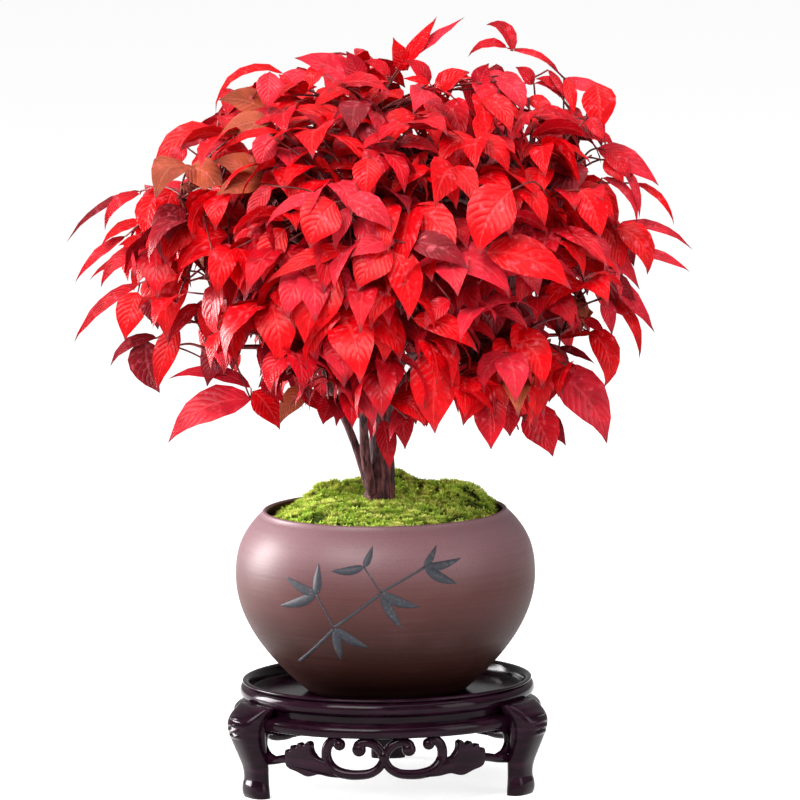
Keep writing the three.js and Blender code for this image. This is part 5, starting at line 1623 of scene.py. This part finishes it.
    def grow_photo_twigs(self):
        for pixels, towards in PHOTO_TWIGS:
            line = smooth_line([self.viewfinder.place(pixel, towards) for pixel in pixels], 5)
            self.twig_to(line[0])
            self.twigs.append((line, *PHOTO_TWIG_RADII))
            self.hubs.append(line[-1])

    def grow_photo_leaves(self):
        for root_pixel, tip_pixel, towards, width, droop, tint in PHOTO_LEAVES:
            root = self.viewfinder.place(root_pixel, towards)
            tip = self.viewfinder.place(tip_pixel, towards + PHOTO_LEAF_ADVANCE)
            self.stalk_to(root)
            self.leaf_between(tint, root, tip, width, droop, FACE_VIEWER)


def direction_of(heading, pitch):
    """The direction of a turn from the right towards the back and a slope upwards, both in radians."""
    level = math.cos(pitch)
    return np.array((level * math.cos(heading), level * math.sin(heading), math.sin(pitch)))


def leaf_faces():
    """Faces of one leaf: a fan at each end and rows of quads between."""
    columns = len(LEAF_COLUMNS)
    last = len(LEAF_STATIONS) - 3

    def at(station, column):
        return 2 + station * columns + column

    faces = []
    for column in range(columns - 1):
        faces.append((0, at(0, column), at(0, column + 1)))
        faces.append((1, at(last, column + 1), at(last, column)))
        for station in range(last):
            faces.append((at(station, column), at(station + 1, column),
                          at(station + 1, column + 1), at(station, column + 1)))
    return faces


def leaf_half_width(share):
    """Half the blade's width there, where the whole width at the widest is one."""
    widest = LEAF_ROOT_POWER / (LEAF_ROOT_POWER + LEAF_TIP_POWER)
    most = widest ** LEAF_ROOT_POWER * (1 - widest) ** LEAF_TIP_POWER
    return share ** LEAF_ROOT_POWER * (1 - share) ** LEAF_TIP_POWER / most / 2


def leaf_places(leaves):
    """Places of all leaves of one tint, worked out together: (leaf, corner, axis)."""
    def column(key):
        return np.array([leaf[key] for leaf in leaves])

    azimuth = column("azimuth")
    length = column("length")
    roll = column("roll")
    centre = column("root").astype(float)
    width = column("width") * length
    places = [centre]
    rows = []
    previous = 0.0
    for share in LEAF_STATIONS[1:]:
        middle = (share + previous) / 2
        pitch = column("pitch") - column("droop") * middle
        lean = roll + column("twist") * middle
        heading = azimuth + column("sweep") * middle
        level = np.stack((np.cos(heading), np.sin(heading), np.zeros_like(heading)), 1)
        aside = np.stack((-np.sin(heading), np.cos(heading), np.zeros_like(heading)), 1)
        forward = level * np.cos(pitch)[:, None] + UP * np.sin(pitch)[:, None]
        above = UP * np.cos(pitch)[:, None] - level * np.sin(pitch)[:, None]
        side = aside * np.cos(lean)[:, None] + above * np.sin(lean)[:, None]
        normal = above * np.cos(lean)[:, None] - aside * np.sin(lean)[:, None]
        centre = centre + forward * (length * (share - previous))[:, None]
        previous = share
        if share == 1.0:
            places.append(centre)
            break
        half = width * leaf_half_width(share)
        wave = np.sin(share * 3 * math.tau + column("phase")) * LEAF_WAVE * length
        for across in LEAF_COLUMNS:
            lift = half * (LEAF_FOLD * abs(across) - LEAF_CUP * across * across) + wave * across ** 2 * 0.5
            rows.append(centre + side * (half * across)[:, None] + normal * lift[:, None])
    return np.stack(places + rows, 1)


def leaf_uvs():
    """Shares across and along one leaf for each of its corners."""
    pairs = [(0.5, 0.0), (0.5, 1.0)]
    pairs += [((across + 1) / 2, share) for share in LEAF_STATIONS[1:-1] for across in LEAF_COLUMNS]
    return np.array(pairs)


def leaf_piece(name, leaves):
    places = leaf_places(leaves)
    count, corners, _ = places.shape
    pattern = leaf_faces()
    faces = [tuple(corner + leaf * corners for corner in face) for leaf in range(count) for face in pattern]
    uvs = np.tile(leaf_uvs(), (count, 1))
    return mesh_from(name, places.reshape(-1, 3), faces, uvs)


def twig_piece(name, twigs):
    """All twigs as tapering tubes with closed ends."""
    places = []
    faces = []
    for line, root_radius, tip_radius in twigs:
        base = len(places)
        last = len(line) - 1
        for i, centre in enumerate(line):
            ahead = line[min(i + 1, last)] - line[max(i - 1, 0)]
            side, upper = side_vectors(ahead / np.linalg.norm(ahead))
            radius = root_radius + (tip_radius - root_radius) * i / last
            for k in range(TWIG_SIDES):
                turn = math.tau * k / TWIG_SIDES
                places.append(centre + (side * math.cos(turn) + upper * math.sin(turn)) * radius)
        for i in range(last):
            for k in range(TWIG_SIDES):
                low = base + i * TWIG_SIDES
                high = low + TWIG_SIDES
                after = (k + 1) % TWIG_SIDES
                faces.append((low + k, low + after, high + after, high + k))
        faces.append(tuple(base + k for k in reversed(range(TWIG_SIDES))))
        faces.append(tuple(base + last * TWIG_SIDES + k for k in range(TWIG_SIDES)))
    return mesh_from(name, places, faces)


def build_foliage(settings, stage):
    crown = Crown(settings, limb_paths(), Viewfinder(stage))
    crown.grow_far_tips()
    crown.grow_photo_twigs()
    crown.grow_photo_leaves()
    crown.grow_layers()
    masses = [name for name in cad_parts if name.startswith("foliage")]
    twigs = twig_piece("twigs", crown.twigs)
    finish_piece(twigs, "twigs", twig_finish(), masses)
    for tint, leaves in sorted(crown.leaves.items()):
        piece = leaf_piece(f"leaves_{tint}", leaves)
        material = leaf_finish(f"Leaf {tint}", tuple(getattr(settings, tint)))
        finish_piece(piece, f"leaves_{tint}", material, masses)


# Stage

def soft_light(name, place, aim, size, power, color):
    data = bpy.data.lights.new(name, "AREA")
    data.shape = "RECTANGLE"
    data.size, data.size_y = size
    data.energy = power
    data.color = color
    light = bpy.data.objects.new(name, data)
    light.location = place
    light.rotation_euler = (Vector(aim) - Vector(place)).to_track_quat("-Z", "Y").to_euler()
    bpy.context.collection.objects.link(light)


def build_floor():
    deselect_all()
    bpy.ops.mesh.primitive_plane_add(size=FLOOR_SIZE, location=(0.0, 0.0, 0.0))
    floor = bpy.context.object
    floor.name = "floor"
    floor.data.materials.append(floor_finish())


def build_lights(settings, middle):
    for name, (place, size, color) in LIGHTS.items():
        soft_light(name, place, middle, size, getattr(settings, f"{name}_power"), color)


def build_world():
    world = bpy.data.worlds.new("Pale studio")
    world.use_nodes = True
    background = world.node_tree.nodes["Background"]
    background.inputs["Color"].default_value = WHITE
    background.inputs["Strength"].default_value = WORLD_STRENGTH
    bpy.context.scene.world = world
    bpy.context.scene.view_settings.view_transform = "Standard"


def build_camera(settings, middle):
    data = bpy.data.cameras.new("camera")
    data.sensor_width = SENSOR_WIDTH
    data.lens = data.sensor_width * settings.distance / settings.frame_width
    camera = bpy.data.objects.new("camera", data)
    back = Vector((0.0, -math.cos(settings.elevation), math.sin(settings.elevation)))
    camera.location = middle + back * settings.distance
    camera.rotation_euler = (-back).to_track_quat("-Z", "Y").to_euler()
    camera.rotation_euler.rotate_axis("Z", settings.roll)
    bpy.context.collection.objects.link(camera)
    bpy.context.scene.camera = camera


def build_stage(settings):
    middle = Vector(VIEW_MIDDLE) * MM
    build_floor()
    build_lights(settings, middle)
    build_world()
    build_camera(settings, middle)


# Add-on

class NANDINA_OT_stand(bpy.types.Operator):
    """Model the carved stand"""
    bl_idname = "nandina.stand"
    bl_label = "Carved stand"

    def execute(self, context):
        build_stand(context.scene.nandina_stand)
        return {"FINISHED"}


class NANDINA_OT_pot(bpy.types.Operator):
    """Model the clay pot and its painted sprig"""
    bl_idname = "nandina.pot"
    bl_label = "Clay pot"

    def execute(self, context):
        build_pot(context.scene.nandina_pot)
        return {"FINISHED"}


class NANDINA_OT_moss(bpy.types.Operator):
    """Model the moss bed and its tufts"""
    bl_idname = "nandina.moss"
    bl_label = "Moss"

    def execute(self, context):
        build_moss(context.scene.nandina_moss)
        return {"FINISHED"}


class NANDINA_OT_limbs(bpy.types.Operator):
    """Model the trunk, stems and boughs"""
    bl_idname = "nandina.limbs"
    bl_label = "Trunk and boughs"

    def execute(self, context):
        build_limbs()
        return {"FINISHED"}


class NANDINA_OT_foliage(bpy.types.Operator):
    """Grow the twigs and leaves"""
    bl_idname = "nandina.foliage"
    bl_label = "Foliage"

    def execute(self, context):
        build_foliage(context.scene.nandina_crown, context.scene.nandina_stage)
        return {"FINISHED"}


class NANDINA_OT_stage(bpy.types.Operator):
    """Set the floor, lights and camera"""
    bl_idname = "nandina.stage"
    bl_label = "Stage"

    def execute(self, context):
        build_stage(context.scene.nandina_stage)
        return {"FINISHED"}


OPERATORS = (NANDINA_OT_stand, NANDINA_OT_pot, NANDINA_OT_moss, NANDINA_OT_limbs, NANDINA_OT_foliage,
             NANDINA_OT_stage)
SETTINGS = {"nandina_stand": StandSettings, "nandina_pot": PotSettings, "nandina_moss": MossSettings,
            "nandina_crown": CrownSettings, "nandina_stage": StageSettings}


class NANDINA_PT_panel(bpy.types.Panel):
    """Lists the pieces in the order in which they are built"""
    bl_idname = "NANDINA_PT_panel"
    bl_label = "Heavenly Bamboo"
    bl_space_type = "VIEW_3D"
    bl_region_type = "UI"
    bl_category = "Heavenly Bamboo"

    def draw(self, context):
        for operator in OPERATORS:
            self.layout.operator(operator.bl_idname)
        for name in SETTINGS:
            settings = getattr(context.scene, name)
            box = self.layout.box()
            for key in settings.bl_rna.properties.keys():
                if key not in {"rna_type", "name"}:
                    box.prop(settings, key)


def register():
    for group in SETTINGS.values():
        bpy.utils.register_class(group)
    for name, group in SETTINGS.items():
        setattr(bpy.types.Scene, name, bpy.props.PointerProperty(type=group))
    for operator in OPERATORS:
        bpy.utils.register_class(operator)
    bpy.utils.register_class(NANDINA_PT_panel)


def unregister():
    bpy.utils.unregister_class(NANDINA_PT_panel)
    for operator in reversed(OPERATORS):
        bpy.utils.unregister_class(operator)
    for name, group in SETTINGS.items():
        delattr(bpy.types.Scene, name)
        bpy.utils.unregister_class(group)


def main():
    register()
    bpy.ops.nandina.stand()
    bpy.ops.nandina.pot()
    bpy.ops.nandina.moss()
    bpy.ops.nandina.limbs()
    bpy.ops.nandina.foliage()
    bpy.ops.nandina.stage()


if __name__ == "__main__":
    main()
